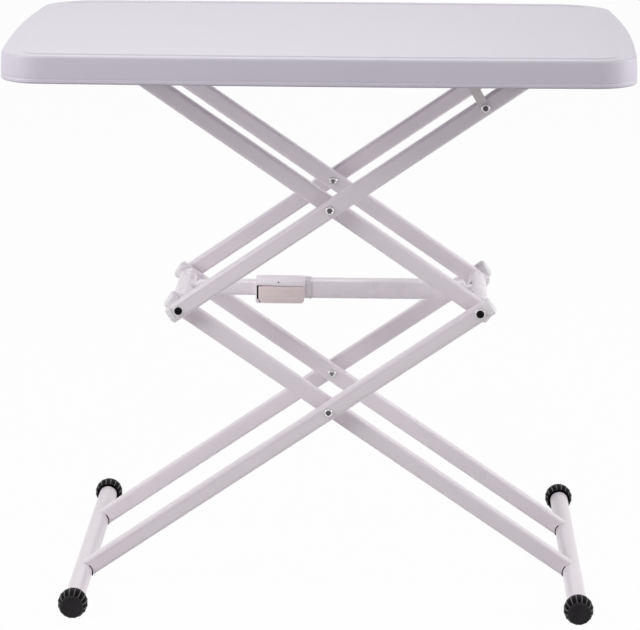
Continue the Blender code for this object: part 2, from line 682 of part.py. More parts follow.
def make_loop(name, body, place, way, depth, height, wall):
    # An eye round the cross tube whose stem plugs into the end of the lock tube
    outer = CROSS_TUBE_RADIUS + FIT + LOOP_WALL
    neck_top = LOCK_RISE + LOOP_NECK / 2
    neck_low = LOCK_RISE - LOOP_NECK / 2
    eye = arc((0, 0), outer, asin(neck_top / outer), 2 * pi + asin(neck_low / outer), ROUND_STEPS)
    outline = eye + [(LOOP_REACH, neck_low), (LOOP_REACH, neck_top)]
    outline = [(way * u, v) for u, v in outline]
    loop = add_object(name, plate_y(outline, -LOOP_WIDTH / 2, LOOP_WIDTH / 2), "zinc_sheet", body, place)
    plug = lock_section(depth, height, wall + FIT, LOCK_CORNER)
    stem_start = place.x + way * (LOOP_REACH - LOOP_WALL)
    rings = [along_x(plug, x) for x in (stem_start, stem_start + way * LOOP_PLUG)]
    combine(loop, add_cutter(name + "_plug", skin(rings), Vector((0, 0, LOCK_Z))), "UNION")
    bore = turned(((CROSS_TUBE_RADIUS + FIT, -LOOP_WIDTH), (CROSS_TUBE_RADIUS + FIT, LOOP_WIDTH)),
                  ROUND_STEPS)
    combine(loop, add_cutter(name + "_bore", bore, place))


def make_lock_bar():
    outer_start = HOUSING_RIGHT + FIT
    make_lock_tube("lock_outer_tube", "lock_outer", outer_start, RIGHT_KNEE.x - LOOP_REACH,
                   LOCK_OUTER_DEPTH, LOCK_OUTER_HEIGHT, LOCK_OUTER_WALL)
    inner_end = outer_start + LOCK_GRIP + LOCK_TRAVEL
    inner = make_lock_tube("lock_inner_tube", "lock_inner", LEFT_KNEE.x + LOOP_REACH, inner_end,
                           LOCK_INNER_DEPTH, LOCK_INNER_HEIGHT, LOCK_WALL)
    for i in range(LOCK_SETTINGS):
        x = TOOTH_X + i * LOCK_PITCH
        low = (x - LOCK_SLOT_LENGTH / 2, -LOCK_SLOT_DEPTH / 2, TUBE_UNDERSIDE_Z - LOCK_WALL)
        high = (x + LOCK_SLOT_LENGTH / 2, LOCK_SLOT_DEPTH / 2, TUBE_UNDERSIDE_Z + 2 * LOCK_WALL)
        combine(inner, add_cutter(f"lock_slot_{i + 1}", box(low, high)))
    make_loop("lock_loop_left", "lock_inner", LEFT_KNEE, 1, LOCK_INNER_DEPTH, LOCK_INNER_HEIGHT,
              LOCK_WALL)
    make_loop("lock_loop_right", "lock_outer", RIGHT_KNEE, -1, LOCK_OUTER_DEPTH, LOCK_OUTER_HEIGHT,
              LOCK_OUTER_WALL)


def make_housing(pin_bore):
    # A cover round the inner tube, with a collar on the outer tube and a bay below for the lever
    half = HOUSING_DEPTH / 2
    low = -HOUSING_BOTTOM
    corner = arc((HOUSING_LEFT + HOUSING_ROUND, low + HOUSING_ROUND), HOUSING_ROUND, pi, 1.5 * pi, TURN_STEPS)
    outline = corner + [(HOUSING_RIGHT, low), (HOUSING_RIGHT, HOUSING_TOP), (HOUSING_LEFT, HOUSING_TOP)]
    bm = plate_y(outline, -half, half)
    ridges = [e for e in bm.edges if min(v.co.z for v in e.verts) > HOUSING_TOP - FIT
              and abs(e.verts[0].co.y - e.verts[1].co.y) < FIT]
    bmesh.ops.bevel(bm, geom=ridges, offset=HOUSING_ROUND, segments=3, profile=0.5, affect="EDGES")
    origin = Vector((0, 0, LOCK_Z))
    housing = add_object("lock_housing", bm, "cap_plastic", "lock_outer", origin)

    collar = lock_section(LOCK_OUTER_DEPTH, LOCK_OUTER_HEIGHT, -COLLAR_WALL, LOCK_CORNER)
    ends = (HOUSING_RIGHT - COLLAR_LENGTH, HOUSING_RIGHT + COLLAR_LENGTH)
    rings = [along_x(collar, x) for x in ends]
    combine(housing, add_cutter("housing_collar", skin(rings), origin), "UNION")
    seat = lock_section(LOCK_OUTER_DEPTH, LOCK_OUTER_HEIGHT, -FIT, LOCK_CORNER)
    rings = [along_x(seat, x) for x in (HOUSING_RIGHT, HOUSING_RIGHT + 2 * COLLAR_LENGTH)]
    combine(housing, add_cutter("housing_seat", skin(rings), origin))
    tunnel = lock_section(LOCK_INNER_DEPTH, LOCK_INNER_HEIGHT, -LOCK_SLIDE_GAP, LOCK_CORNER)
    ends = (HOUSING_LEFT - COLLAR_LENGTH, HOUSING_RIGHT + COLLAR_LENGTH / 2)
    rings = [along_x(tunnel, x) for x in ends]
    combine(housing, add_cutter("housing_tunnel", skin(rings), origin))

    pocket_left = HOUSING_LEFT + HOUSING_LIP
    bay_left = LEVER_LEFT - LEVER_GAP
    bay_right = HOUSING_RIGHT + 2 * HOUSING_ROUND
    floor = HOUSING_FLOOR_Z - LOCK_Z
    boss_low = -LEVER_AXIS_DROP - BOSS_DROP
    turn_x = LEVER_LEFT + LEVER_ROUND
    turn = arc((turn_x, low + LEVER_ROUND), LEVER_ROUND + LEVER_GAP, pi, 1.5 * pi, TURN_STEPS)
    bay = (
        *turn,
        (turn_x, 2 * low),
        (bay_right, 2 * low),
        (bay_right, floor),
        (LEVER_AXIS.x + BOSS_HALF, floor),
        (LEVER_AXIS.x + BOSS_HALF, boss_low),
        (LEVER_AXIS.x - BOSS_HALF, boss_low),
        (LEVER_AXIS.x - BOSS_HALF, floor),
        (bay_left, floor),
    )
    combine(housing, add_cutter("lever_bay", plate_y(bay, -HOUSING_DEPTH, HOUSING_DEPTH), origin))
    rise = LEVER_RISE + LEVER_GAP
    left_rise = rise + (LEVER_AXIS.x - LEVER_LEFT) * sin(LEVER_SWING)
    pocket = (*turn, (turn_x, 2 * low), (bay_right, 2 * low), (bay_right, rise), (pocket_left, left_rise),
              (pocket_left, low + LEVER_ROUND))
    core = half - LEVER_WALL - LEVER_GAP
    for label, side in SIDES:
        bm = plate_y(pocket, side * core, side * HOUSING_DEPTH)
        combine(housing, add_cutter(f"lever_pocket_{label}", bm, origin))
    combine(housing, pin_bore)
    reach = TOOTH_LENGTH / 2 + TOOTH_CLEARANCE
    window = box((TOOTH_X - reach, -TOOTH_DEPTH / 2 - TOOTH_CLEARANCE, HOUSING_FLOOR_Z - HOUSING_FLOOR),
                 (TOOTH_X + reach, TOOTH_DEPTH / 2 + TOOTH_CLEARANCE, LOCK_Z))
    combine(housing, add_cutter("tooth_window", window))


def make_lever(pin_bore):
    # A U-shaped lever: squeezing its left end up drops the tooth on its right out of the tube
    half = HOUSING_DEPTH / 2
    low = -HOUSING_BOTTOM
    turn_z = low + LEVER_ROUND
    left_turn = arc((LEVER_LEFT + LEVER_ROUND, turn_z), LEVER_ROUND, pi, 1.5 * pi, TURN_STEPS)
    right_turn = arc((LEVER_RIGHT - LEVER_ROUND, turn_z), LEVER_ROUND, 1.5 * pi, 2 * pi, TURN_STEPS)
    outline = left_turn + right_turn + [(LEVER_RIGHT, LEVER_RISE), (LEVER_LEFT, LEVER_RISE)]
    origin = Vector((0, 0, LOCK_Z))
    lever = add_object("release_lever", plate_y(outline, -half, half), "lever_plastic", "lever", origin)
    inside = half - LEVER_WALL
    channel = box((LEVER_LEFT - LEVER_ROUND, -inside, LEVER_FLOOR_Z),
                  (LEVER_RIGHT + LEVER_ROUND, inside, LOCK_Z + 2 * LEVER_RISE))
    combine(lever, add_cutter("lever_channel", channel))
    tooth = box((TOOTH_X - TOOTH_LENGTH / 2, -TOOTH_DEPTH / 2, LEVER_FLOOR_Z - LEVER_FLOOR / 2),
                (TOOTH_X + TOOTH_LENGTH / 2, TOOTH_DEPTH / 2, TUBE_UNDERSIDE_Z - LOCK_SLIDE_GAP))
    combine(lever, add_cutter("lever_tooth", tooth), "UNION")
    combine(lever, pin_bore)
    face = half + FIT
    ends = (
        (LEVER_PIN_RADIUS, face),
        (LEVER_PIN_HEAD_RADIUS, face),
        (LEVER_PIN_HEAD_RADIUS, face + LEVER_PIN_HEAD),
    )
    profile = [(radius, -y) for radius, y in reversed(ends)] + list(ends)
    add_object("lever_pin", turned(profile, SMALL_STEPS), "rivet_steel", "lock_outer", LEVER_AXIS)


def make_lock():
    reach = HOUSING_DEPTH
    pin = turned(((LEVER_PIN_RADIUS + FIT, -reach), (LEVER_PIN_RADIUS + FIT, reach)), SMALL_STEPS)
    pin_bore = add_cutter("lever_pin_bore", pin, LEVER_AXIS)
    make_housing(pin_bore)
    make_lever(pin_bore)
    make_spring()


def make_spring():
    # A short coil between the lever's floor and the housing's floor
    low = LEVER_FLOOR_Z + FIT + SPRING_WIRE
    high = HOUSING_FLOOR_Z - FIT - SPRING_WIRE
    points_per_turn = 10
    count = SPRING_TURNS * points_per_turn
    curve = bpy.data.curves.new("lever_spring", "CURVE")
    curve.dimensions = "3D"
    curve.bevel_depth = SPRING_WIRE
    curve.bevel_resolution = 1
    curve.use_fill_caps = True
    spline = curve.splines.new("POLY")
    spline.points.add(count)
    for i, point in enumerate(spline.points):
        angle = 2 * pi * i / points_per_turn
        z = low + (high - low) * i / count
        point.co = (SPRING_X + SPRING_RADIUS * cos(angle), SPRING_RADIUS * sin(angle), z, 1)
    curve.materials.append(materials["rivet_steel"])
    spring = bpy.data.objects.new("lever_spring", curve)
    bpy.context.collection.objects.link(spring)
    spring.parent = bodies["lock_outer"][0]
    spring.location = -bodies["lock_outer"][1]


def make_bores():
    rivet = RIVET_RADIUS + FIT
    axle = AXLE_RADIUS + FIT
    rod = SLIDE_ROD_RADIUS + FIT
    tube = FOOT_TUBE_RADIUS + FIT
    places = (
        ("upper", UPPER_CROSSING, rivet, BORE_STEPS),
        ("lower", LOWER_CROSSING, rivet, BORE_STEPS),
        ("left_knee", LEFT_KNEE, axle, BORE_STEPS),
        ("right_knee", RIGHT_KNEE, axle, BORE_STEPS),
        ("left_slide", LEFT_SLIDE, rod, BORE_STEPS),
        ("right_slide", RIGHT_SLIDE, rod, BORE_STEPS),
        ("stay_joint", STAY_JOINT, rivet, BORE_STEPS),
        ("stay_pivot", STAY_PIVOT, STAY_PIN_RADIUS + FIT, BORE_STEPS),
        ("left_foot", LEFT_FOOT, tube, FOOT_STEPS),
        ("right_foot", RIGHT_FOOT, tube, FOOT_STEPS),
    )
    return {name: bore_cutter(name + "_bore", *rest) for name, *rest in places}


def main():
    clear_scene()
    make_material("top_plastic", (0.80, 0.79, 0.82), 0.45, 0.0)
    make_material("white_steel", (0.74, 0.73, 0.75), 0.40, 0.0)
    make_material("cap_plastic", (0.70, 0.69, 0.70), 0.50, 0.0)
    make_material("lever_plastic", (0.72, 0.68, 0.66), 0.50, 0.0)
    make_material("black_rubber", (0.03, 0.03, 0.035), 0.70, 0.0)
    make_material("black_steel", (0.04, 0.04, 0.045), 0.45, 0.6)
    make_material("rivet_steel", (0.60, 0.60, 0.62), 0.35, 1.0)
    make_material("zinc_sheet", (0.62, 0.63, 0.65), 0.45, 1.0)
    make_material("nylon", (0.75, 0.74, 0.72), 0.50, 0.0)
    make_bodies()
    bores = make_bores()
    make_top()
    make_rails(bores["stay_pivot"])
    make_stays(bores["stay_pivot"], bores["stay_joint"])
    make_frame(bores)
    make_pivots()
    make_slide_rods()
    make_feet()
    make_lock_bar()
    make_lock()


main()
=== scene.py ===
# Folding table: fine pieces, finishes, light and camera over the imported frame. Metres, +Z up.
import json
from math import cos, pi, radians, sin

import bmesh
import bpy
from mathutils import Matrix, Vector


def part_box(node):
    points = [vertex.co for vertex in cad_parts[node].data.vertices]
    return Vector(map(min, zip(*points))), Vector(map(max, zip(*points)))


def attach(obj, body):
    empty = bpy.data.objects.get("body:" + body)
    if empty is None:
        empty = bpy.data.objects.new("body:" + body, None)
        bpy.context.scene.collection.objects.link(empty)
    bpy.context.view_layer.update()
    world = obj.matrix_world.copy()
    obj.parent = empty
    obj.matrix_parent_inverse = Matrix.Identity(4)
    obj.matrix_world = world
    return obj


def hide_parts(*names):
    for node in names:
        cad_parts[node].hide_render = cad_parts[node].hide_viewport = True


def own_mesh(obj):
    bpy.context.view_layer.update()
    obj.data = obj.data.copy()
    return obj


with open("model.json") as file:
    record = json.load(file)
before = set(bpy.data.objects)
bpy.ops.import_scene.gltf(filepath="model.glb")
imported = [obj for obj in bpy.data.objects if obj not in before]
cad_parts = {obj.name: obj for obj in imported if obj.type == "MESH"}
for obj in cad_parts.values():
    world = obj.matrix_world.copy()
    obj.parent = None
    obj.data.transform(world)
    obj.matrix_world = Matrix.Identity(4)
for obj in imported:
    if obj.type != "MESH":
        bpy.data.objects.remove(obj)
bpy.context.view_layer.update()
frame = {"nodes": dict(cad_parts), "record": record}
record = frame["record"]
bodyOf = {node: body for body, nodes in record["behaviour"]["bodies"].items() for node in nodes}
sides = ("left", "right")
ends = ("front", "rear")


# Node building blocks, for shaders and for Geometry Nodes

def feed(tree, source, target):
    # links an output to an input, or sets the value of the input
    if hasattr(source, "links"):
        tree.links.new(source, target)
    else:
        target.default_value = source


def addNode(tree, kind, inputs=None, **settings):
    made = tree.nodes.new(kind)
    for label, value in settings.items():
        setattr(made, label, value)
    for label, source in (inputs or {}).items():
        feed(tree, source, made.inputs[label])
    return made


def addTree(name, kind, inputs, outputs):
    # a new node group, the identifiers of its inputs, and its two ends
    tree = bpy.data.node_groups.new(name, kind)
    ids = {}
    for label, sort in inputs.items():
        socket = tree.interface.new_socket(label, in_out="INPUT", socket_type="NodeSocket" + sort)
        ids[label] = socket.identifier
    for label, sort in outputs.items():
        tree.interface.new_socket(label, in_out="OUTPUT", socket_type="NodeSocket" + sort)
    return tree, ids, tree.nodes.new("NodeGroupInput").outputs, tree.nodes.new("NodeGroupOutput").inputs


def calc(tree, operation, *operands):
    return addNode(tree, "ShaderNodeMath", dict(enumerate(operands)), operation=operation).outputs[0]


def blendColors(tree, factor, first, second):
    # 6, 7 and the output 2 are the colour sockets of a Mix node
    sockets = {"Factor": factor, 6: first, 7: second}
    return addNode(tree, "ShaderNodeMix", sockets, data_type="RGBA").outputs[2]


def ramp(tree, value, low, high):
    sockets = {"Value": value, "From Min": low, "From Max": high}
    return addNode(tree, "ShaderNodeMapRange", sockets, interpolation_type="SMOOTHSTEP").outputs["Result"]


# Shared effects of the finishes
restingFilm = {"color": (0.55, 0.52, 0.49, 1.0), "facing": (0.25, 0.95), "patchScale": 34.0,
               "patches": (0.35, 0.7), "rough": 0.3}


def makeSurfaceGrain():
    # fine pimples for the bump, and a slow drift of tone from the moulding or the spray gun
    tree, ids, given, out = addTree(
        "surfaceGrain", "ShaderNodeTree",
        {"Vector": "Vector", "Pimple Scale": "Float", "Drift Scale": "Float", "Stretch": "Vector"},
        {"Height": "Float", "Drift": "Float"})
    stretched = addNode(tree, "ShaderNodeVectorMath", {0: given["Vector"], 1: given["Stretch"]},
                        operation="MULTIPLY")
    pimples = addNode(tree, "ShaderNodeTexNoise", {
        "Vector": stretched.outputs[0], "Scale": given["Pimple Scale"], "Detail": 3.0, "Roughness": 0.55})
    drift = addNode(tree, "ShaderNodeTexNoise", {
        "Vector": given["Vector"], "Scale": given["Drift Scale"], "Detail": 4.0, "Roughness": 0.6})
    feed(tree, pimples.outputs[0], out["Height"])
    feed(tree, drift.outputs[0], out["Drift"])
    return tree


def makeToneShift():
    # lightens and darkens a colour a little as the drift says
    tree, ids, given, out = addTree(
        "toneShift", "ShaderNodeTree",
        {"Color": "Color", "Drift": "Float", "Amount": "Float"}, {"Color": "Color"})
    centred = calc(tree, "SUBTRACT", given["Drift"], 0.5)
    scale = calc(tree, "MULTIPLY_ADD", centred, given["Amount"], 1.0)
    shifted = addNode(tree, "ShaderNodeVectorMath", {0: given["Color"], "Scale": scale}, operation="SCALE")
    feed(tree, shifted.outputs[0], out["Color"])
    return tree


def makeRestingDust():
    # a thin patchy film on faces that look up
    tree, ids, given, out = addTree(
        "restingDust", "ShaderNodeTree",
        {"Vector": "Vector", "Color": "Color", "Dust Color": "Color", "Amount": "Float"},
        {"Color": "Color", "Film": "Float"})
    normal = tree.nodes.new("ShaderNodeNewGeometry").outputs["Normal"]
    parts = addNode(tree, "ShaderNodeSeparateXYZ", {0: normal})
    facing = ramp(tree, parts.outputs["Z"], *restingFilm["facing"])
    patches = addNode(tree, "ShaderNodeTexNoise", {
        "Vector": given["Vector"], "Scale": restingFilm["patchScale"], "Detail": 5.0, "Roughness": 0.65})
    film = calc(tree, "MULTIPLY", facing, ramp(tree, patches.outputs[0], *restingFilm["patches"]))
    film = calc(tree, "MULTIPLY", film, given["Amount"])
    feed(tree, blendColors(tree, film, given["Color"], given["Dust Color"]), out["Color"])
    feed(tree, film, out["Film"])
    return tree


surfaceGrain = makeSurfaceGrain()
toneShift = makeToneShift()
restingDust = makeRestingDust()


# Finishes: what related ones share, then what a painter would change on each
footLift = 0.0010  # the foot of the skirt above the lowest face of the CAD slab
neckGap = 0.0006  # from the lever to the neck of the housing
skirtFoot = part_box("table_top")[0][2] + footLift
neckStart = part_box("release_lever")[1][0] + neckGap
powderCoat = {"rough": 0.31, "roughSpread": 0.14, "pimple": 1300.0, "drift": 16.0, "tone": 0.07,
              "bump": 0.10, "depth": 0.00012, "dust": 0.06}
rubber = {"roughSpread": 0.16, "pimple": 1400.0, "drift": 60.0, "tone": 0.5, "bump": 0.20, "depth": 0.00015}
darkSteel = {"roughSpread": 0.20, "pimple": 1600.0, "drift": 900.0, "tone": 0.8, "bump": 0.12,
             "depth": 0.00010, "dust": 0.01}
finishes = {
    "topPlastic": {"color": (0.650, 0.613, 0.692), "rough": 0.46, "roughSpread": 0.10, "pimple": 950.0,
                   "drift": 7.0, "tone": 0.045, "bump": 0.05, "depth": 0.00010, "dust": 0.05,
                   # painted shade along the foot of the skirt
                   "paintedShade": ("Z", skirtFoot + 0.0024, skirtFoot + 0.0004, 0.68)},
    "whitePaint": {**powderCoat, "color": (0.836, 0.772, 0.818)},
    # a lighter copy of whitePaint for the rear arms: painted light on the rear frame
    "rearPaint": {**powderCoat, "color": (0.886, 0.822, 0.868)},
    "stayPaint": {**powderCoat, "color": (0.800, 0.745, 0.748), "rough": 0.34, "drift": 30.0},
    # a lighter copy of whitePaint for the lock bar, its sleeves and the cross tubes: painted light
    "paintedLightBarPaint": {**powderCoat, "color": (0.915, 0.855, 0.900), "rough": 0.28, "roughSpread": 0.12,
                 "drift": 22.0, "tone": 0.025, "dust": 0.03},
    "capPlastic": {"color": (0.865, 0.838, 0.866), "rough": 0.52, "roughSpread": 0.12, "pimple": 1800.0,
                   "drift": 40.0, "tone": 0.10, "bump": 0.25, "depth": 0.00018, "dust": 0.06,
                   "stretch": (1.0, 0.35, 1.0)},
    "housingPlastic": {"color": (0.955, 0.902, 0.942), "rough": 0.48, "roughSpread": 0.10, "pimple": 1500.0,
                       "drift": 30.0, "tone": 0.05, "bump": 0.08, "depth": 0.00012, "dust": 0.05,
                       # painted shade on the neck of the housing, right of the lever
                       "paintedShade": ("X", neckStart, neckStart + 0.0008, 0.80)},
    "leverPlastic": {"color": (0.865, 0.748, 0.748), "rough": 0.50, "roughSpread": 0.10, "pimple": 1500.0,
                     "drift": 55.0, "tone": 0.08, "bump": 0.10, "depth": 0.00012, "dust": 0.03,
                     "stretch": (0.2, 1.0, 1.0)},
    # black rubber of the cap barrels, also the colour of the dark pieces of painted shade
    "blackRubberAndPaintedShade": {**rubber, "color": (0.0042, 0.0034, 0.0042), "rough": 0.42, "dust": 0.001, "shine": 0.02},
    # lighter rubber for the rib tops of the foot caps: painted highlight
    "paintedHighlightRubber": {**rubber, "color": (0.062, 0.057, 0.061), "rough": 0.36, "tone": 0.6, "bump": 0.15,
                   "dust": 0.01, "shine": 0.4},
    "capFace": {**rubber, "color": (0.030, 0.028, 0.030), "rough": 0.50, "drift": 90.0, "dust": 0.003,
                "shine": 0.05},
    # dark plugs in the rivet bores: painted shade in the hollows
    "rivetHeadBoreShade": {**darkSteel, "color": (0.150, 0.140, 0.145), "rough": 0.38, "shine": 0.4},
    "rivetClinchBoreShade": {**darkSteel, "color": (0.340, 0.320, 0.335), "rough": 0.45, "shine": 0.3},
    "blackSteel": {**darkSteel, "color": (0.006, 0.006, 0.007), "rough": 0.30, "drift": 90.0, "tone": 0.5,
                   "dust": 0.005, "shine": 0.08},
    "rivetSteel": {"color": (0.62, 0.61, 0.62), "rough": 0.30, "roughSpread": 0.25, "pimple": 2200.0,
                   "drift": 120.0, "tone": 0.30, "bump": 0.10, "depth": 0.00008, "dust": 0.02, "metal": 1.0},
    "zincSheet": {"color": (0.62, 0.63, 0.65), "rough": 0.42, "roughSpread": 0.30, "pimple": 420.0,
                  "drift": 150.0, "tone": 0.35, "bump": 0.05, "depth": 0.00010, "dust": 0.06, "metal": 1.0},
    "nylonNatural": {"color": (0.74, 0.72, 0.69), "rough": 0.48, "roughSpread": 0.12, "pimple": 900.0,
                     "drift": 70.0, "tone": 0.06, "bump": 0.06, "depth": 0.00010, "dust": 0.04},
}


def makeFinish(name):
    look = finishes[name]
    material = bpy.data.materials.new(name)
    material.use_nodes = True
    tree = material.node_tree
    place = tree.nodes.new("ShaderNodeTexCoord").outputs["Object"]
    grain = addNode(tree, "ShaderNodeGroup", node_tree=surfaceGrain, inputs={
        "Vector": place, "Pimple Scale": look["pimple"], "Drift Scale": look["drift"],
        "Stretch": look.get("stretch", (1.0, 1.0, 1.0))}).outputs
    tone = addNode(tree, "ShaderNodeGroup", node_tree=toneShift, inputs={
        "Color": (*look["color"], 1.0), "Drift": grain["Drift"], "Amount": look["tone"]}).outputs
    dust = addNode(tree, "ShaderNodeGroup", node_tree=restingDust, inputs={
        "Vector": place, "Color": tone["Color"], "Dust Color": restingFilm["color"],
        "Amount": look["dust"]}).outputs
    color = dust["Color"]
    if "paintedShade" in look:
        # painted shade: a darker zone beyond a level on one axis
        axis, start, full, share = look["paintedShade"]
        parts = addNode(tree, "ShaderNodeSeparateXYZ", {0: place})
        darker = addNode(tree, "ShaderNodeVectorMath", {0: color, "Scale": share}, operation="SCALE")
        color = blendColors(tree, ramp(tree, parts.outputs[axis], start, full), color, darker.outputs[0])
    low = look["rough"] - look["roughSpread"] / 2
    rough = calc(tree, "MULTIPLY_ADD", grain["Drift"], look["roughSpread"], low)
    rough = calc(tree, "MULTIPLY_ADD", dust["Film"], restingFilm["rough"], rough)
    bump = addNode(tree, "ShaderNodeBump", {
        "Strength": look["bump"], "Distance": look["depth"], "Height": grain["Height"]})
    surface = {"Base Color": color, "Roughness": rough, "Normal": bump.outputs["Normal"],
               "Metallic": look.get("metal", 0.0), "Specular IOR Level": look.get("shine", 0.5)}
    for label, source in surface.items():
        feed(tree, source, tree.nodes["Principled BSDF"].inputs[label])
    return material


paint = {name: makeFinish(name) for name in finishes}
print("finishes:", ", ".join(paint))


# Mesh building blocks
easedCopy = {"merge": 2e-6, "flatWithin": 0.5, "segments": 2, "fromAngle": 50.0}


def addObject(name, data):
    item = bpy.data.objects.new(name, data)
    bpy.context.scene.collection.objects.link(item)
    return item


def addPiece(name, mesh, material):
    mesh.materials.clear()
    mesh.materials.append(material)
    return addObject(name, mesh)


def settle(piece, *nodes, slot=None):
    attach(piece, bodyOf[nodes[0]])
    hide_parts(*nodes)


def addTrim(piece, body):
    # a small extra that no CAD node stands for
    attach(piece, body)


def smoothen(mesh, sharpAngle):
    mesh.shade_smooth()
    mesh.set_sharp_from_angle(angle=radians(sharpAngle))


def toMesh(bm, name, sharpAngle=35.0):
    bmesh.ops.remove_doubles(bm, verts=bm.verts, dist=1e-6)
    bmesh.ops.recalc_face_normals(bm, faces=bm.faces)
    mesh = bpy.data.meshes.new(name)
    bm.to_mesh(mesh)
    bm.free()
    smoothen(mesh, sharpAngle)
    return mesh


def keepResult(piece, sharpAngle=35.0):
    # what the modifiers show becomes the plain mesh of the piece
    bpy.context.view_layer.update()
    evaluated = piece.evaluated_get(bpy.context.evaluated_depsgraph_get())
    mesh = bpy.data.meshes.new_from_object(evaluated)
    piece.modifiers.clear()
    piece.data = mesh
    smoothen(mesh, sharpAngle)


def easeEdges(piece, width, segments, fromAngle):
    eased = piece.modifiers.new("easedEdges", "BEVEL")
    eased.width = width
    eased.segments = segments
    eased.limit_method = "ANGLE"
    eased.angle_limit = radians(fromAngle)


def skin(bm, rings, closed=False):
    # walls between rings of equal count, with flat ends unless the last ring meets the first
    rows = [[bm.verts.new(point) for point in ring] for ring in rings]
    pairs = list(zip(rows, rows[1:]))
    if closed:
        pairs.append((rows[-1], rows[0]))
    for low, high in pairs:
        for i in range(len(low)):
            j = (i + 1) % len(low)
            bm.faces.new((low[i], low[j], high[j], high[i]))
    if not closed:
        bm.faces.new(rows[0])
        bm.faces.new(rows[-1])


def arc(span, steps):
    return [span * i / steps for i in range(steps + 1)]


def ringY(radius, y, steps, corners=0):
    # a circle round the Y axis, or a polygon of so many corners drawn with the same count of points
    points = []
    for angle in arc(2 * pi, steps)[:-1]:
        reach = radius
        if corners:
            half = pi / corners
            reach = radius * cos(half) / cos((angle % (2 * half)) - half)
        points.append(Vector((reach * cos(angle), y, reach * sin(angle))))
    return points


def turn(name, rings, steps, place=Vector((0, 0, 0)), closed=False):
    # rings are (radius, y) or (radius, y, corners)
    bm = bmesh.new()
    skin(bm, [ringY(ring[0], ring[1], steps, *ring[2:]) for ring in rings], closed)
    bmesh.ops.translate(bm, verts=bm.verts, vec=place)
    return toMesh(bm, name)


def barRings(half, radius, ease, bore=0):
    # a round bar about the middle of its length, or a tube where it has a bore
    return ((bore, -half), (radius - ease, -half), (radius, -half + ease), (radius, half - ease),
            (radius - ease, half), (bore, half))


def bothEnds(end):
    # the rings of one end, mirrored to the other
    return [(ring[0], -ring[1], *ring[2:]) for ring in reversed(end)] + list(end)


def roundOver(low, high, radius, steps):
    # quarter circle of (inset, level) steps from a side wall at low to a face at high
    side = 1 if high > low else -1
    return [(radius * (1 - cos(angle)), high - side * radius * (1 - sin(angle)))
            for angle in arc(pi / 2, steps)]


def centreOf(node):
    low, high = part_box(node)
    return (Vector(low) + Vector(high)) / 2


def halfLength(node):
    low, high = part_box(node)
    return (high[1] - low[1]) / 2


def finishNode(node, material, edge, slot=None):
    # a merged copy of the CAD piece with its edges eased
    bm = bmesh.new()
    bm.from_mesh(frame["nodes"][node].data)
    bmesh.ops.remove_doubles(bm, verts=bm.verts, dist=easedCopy["merge"])
    bmesh.ops.dissolve_limit(bm, angle_limit=radians(easedCopy["flatWithin"]), verts=bm.verts, edges=bm.edges)
    piece = addPiece(node + "_finish", toMesh(bm, node + "_finish"), material)
    easeEdges(piece, edge, easedCopy["segments"], easedCopy["fromAngle"])
    settle(piece, node, slot=slot)


# Geometry Nodes: copies on points, ribs round an axis, rows of ribs, tapered lines and a coil
swept = {"sectionPoints": 8, "ribPoints": 12, "coilPoints": 20, "taperPower": 0.5, "taperLeast": 0.12,
         "sharpAngle": 40.0}


def addGeometryTree(name, inputs):
    return addTree(name, "GeometryNodeTree", {"Geometry": "Geometry", **inputs}, {"Geometry": "Geometry"})


def sweep(tree, path, radius):
    # a round bar along a path
    section = addNode(tree, "GeometryNodeCurvePrimitiveCircle", {
        "Resolution": swept["sectionPoints"], "Radius": radius})
    return addNode(tree, "GeometryNodeCurveToMesh", {
        "Curve": path, "Profile Curve": section.outputs[0], "Fill Caps": True}).outputs[0]


def endTree(tree, source, given, out):
    real = addNode(tree, "GeometryNodeRealizeInstances", {0: source})
    painted = addNode(tree, "GeometryNodeSetMaterial", {
        "Geometry": real.outputs[0], "Material": given["Material"]})
    feed(tree, painted.outputs[0], out["Geometry"])


def makeSetOut():
    tree, ids, given, out = addGeometryTree(
        "setOut", {"Shape": "Object", "Size": "Float", "Material": "Material"})
    shape = addNode(tree, "GeometryNodeObjectInfo", {"Object": given["Shape"]})
    facing = addNode(tree, "GeometryNodeInputNamedAttribute", {"Name": "facing"}, data_type="FLOAT_VECTOR")
    copies = addNode(tree, "GeometryNodeInstanceOnPoints", {
        "Points": given["Geometry"], "Instance": shape.outputs["Geometry"],
        "Rotation": facing.outputs["Attribute"], "Scale": given["Size"]})
    endTree(tree, copies.outputs[0], given, out)
    return tree, ids


def makeRibRound():
    # ribs round the Y axis, the first half a pitch from straight down
    tree, ids, given, out = addGeometryTree(
        "ribRound", {"Count": "Int", "Rib Radius": "Float", "Start": "Vector", "Middle": "Vector",
                     "End": "Vector", "Place": "Vector", "Material": "Material"})
    path = addNode(tree, "GeometryNodeCurveQuadraticBezier", {
        "Resolution": swept["ribPoints"], "Start": given["Start"], "Middle": given["Middle"],
        "End": given["End"]})
    points = addNode(tree, "GeometryNodePoints", {"Count": given["Count"], "Position": given["Place"]})
    index = tree.nodes.new("GeometryNodeInputIndex").outputs[0]
    share = calc(tree, "DIVIDE", calc(tree, "ADD", index, 0.5), given["Count"])
    turned = addNode(tree, "ShaderNodeCombineXYZ", {"Y": calc(tree, "MULTIPLY", share, 2 * pi)})
    copies = addNode(tree, "GeometryNodeInstanceOnPoints", {
        "Points": points.outputs[0], "Instance": sweep(tree, path.outputs[0], given["Rib Radius"]),
        "Rotation": turned.outputs[0]})
    endTree(tree, copies.outputs[0], given, out)
    return tree, ids


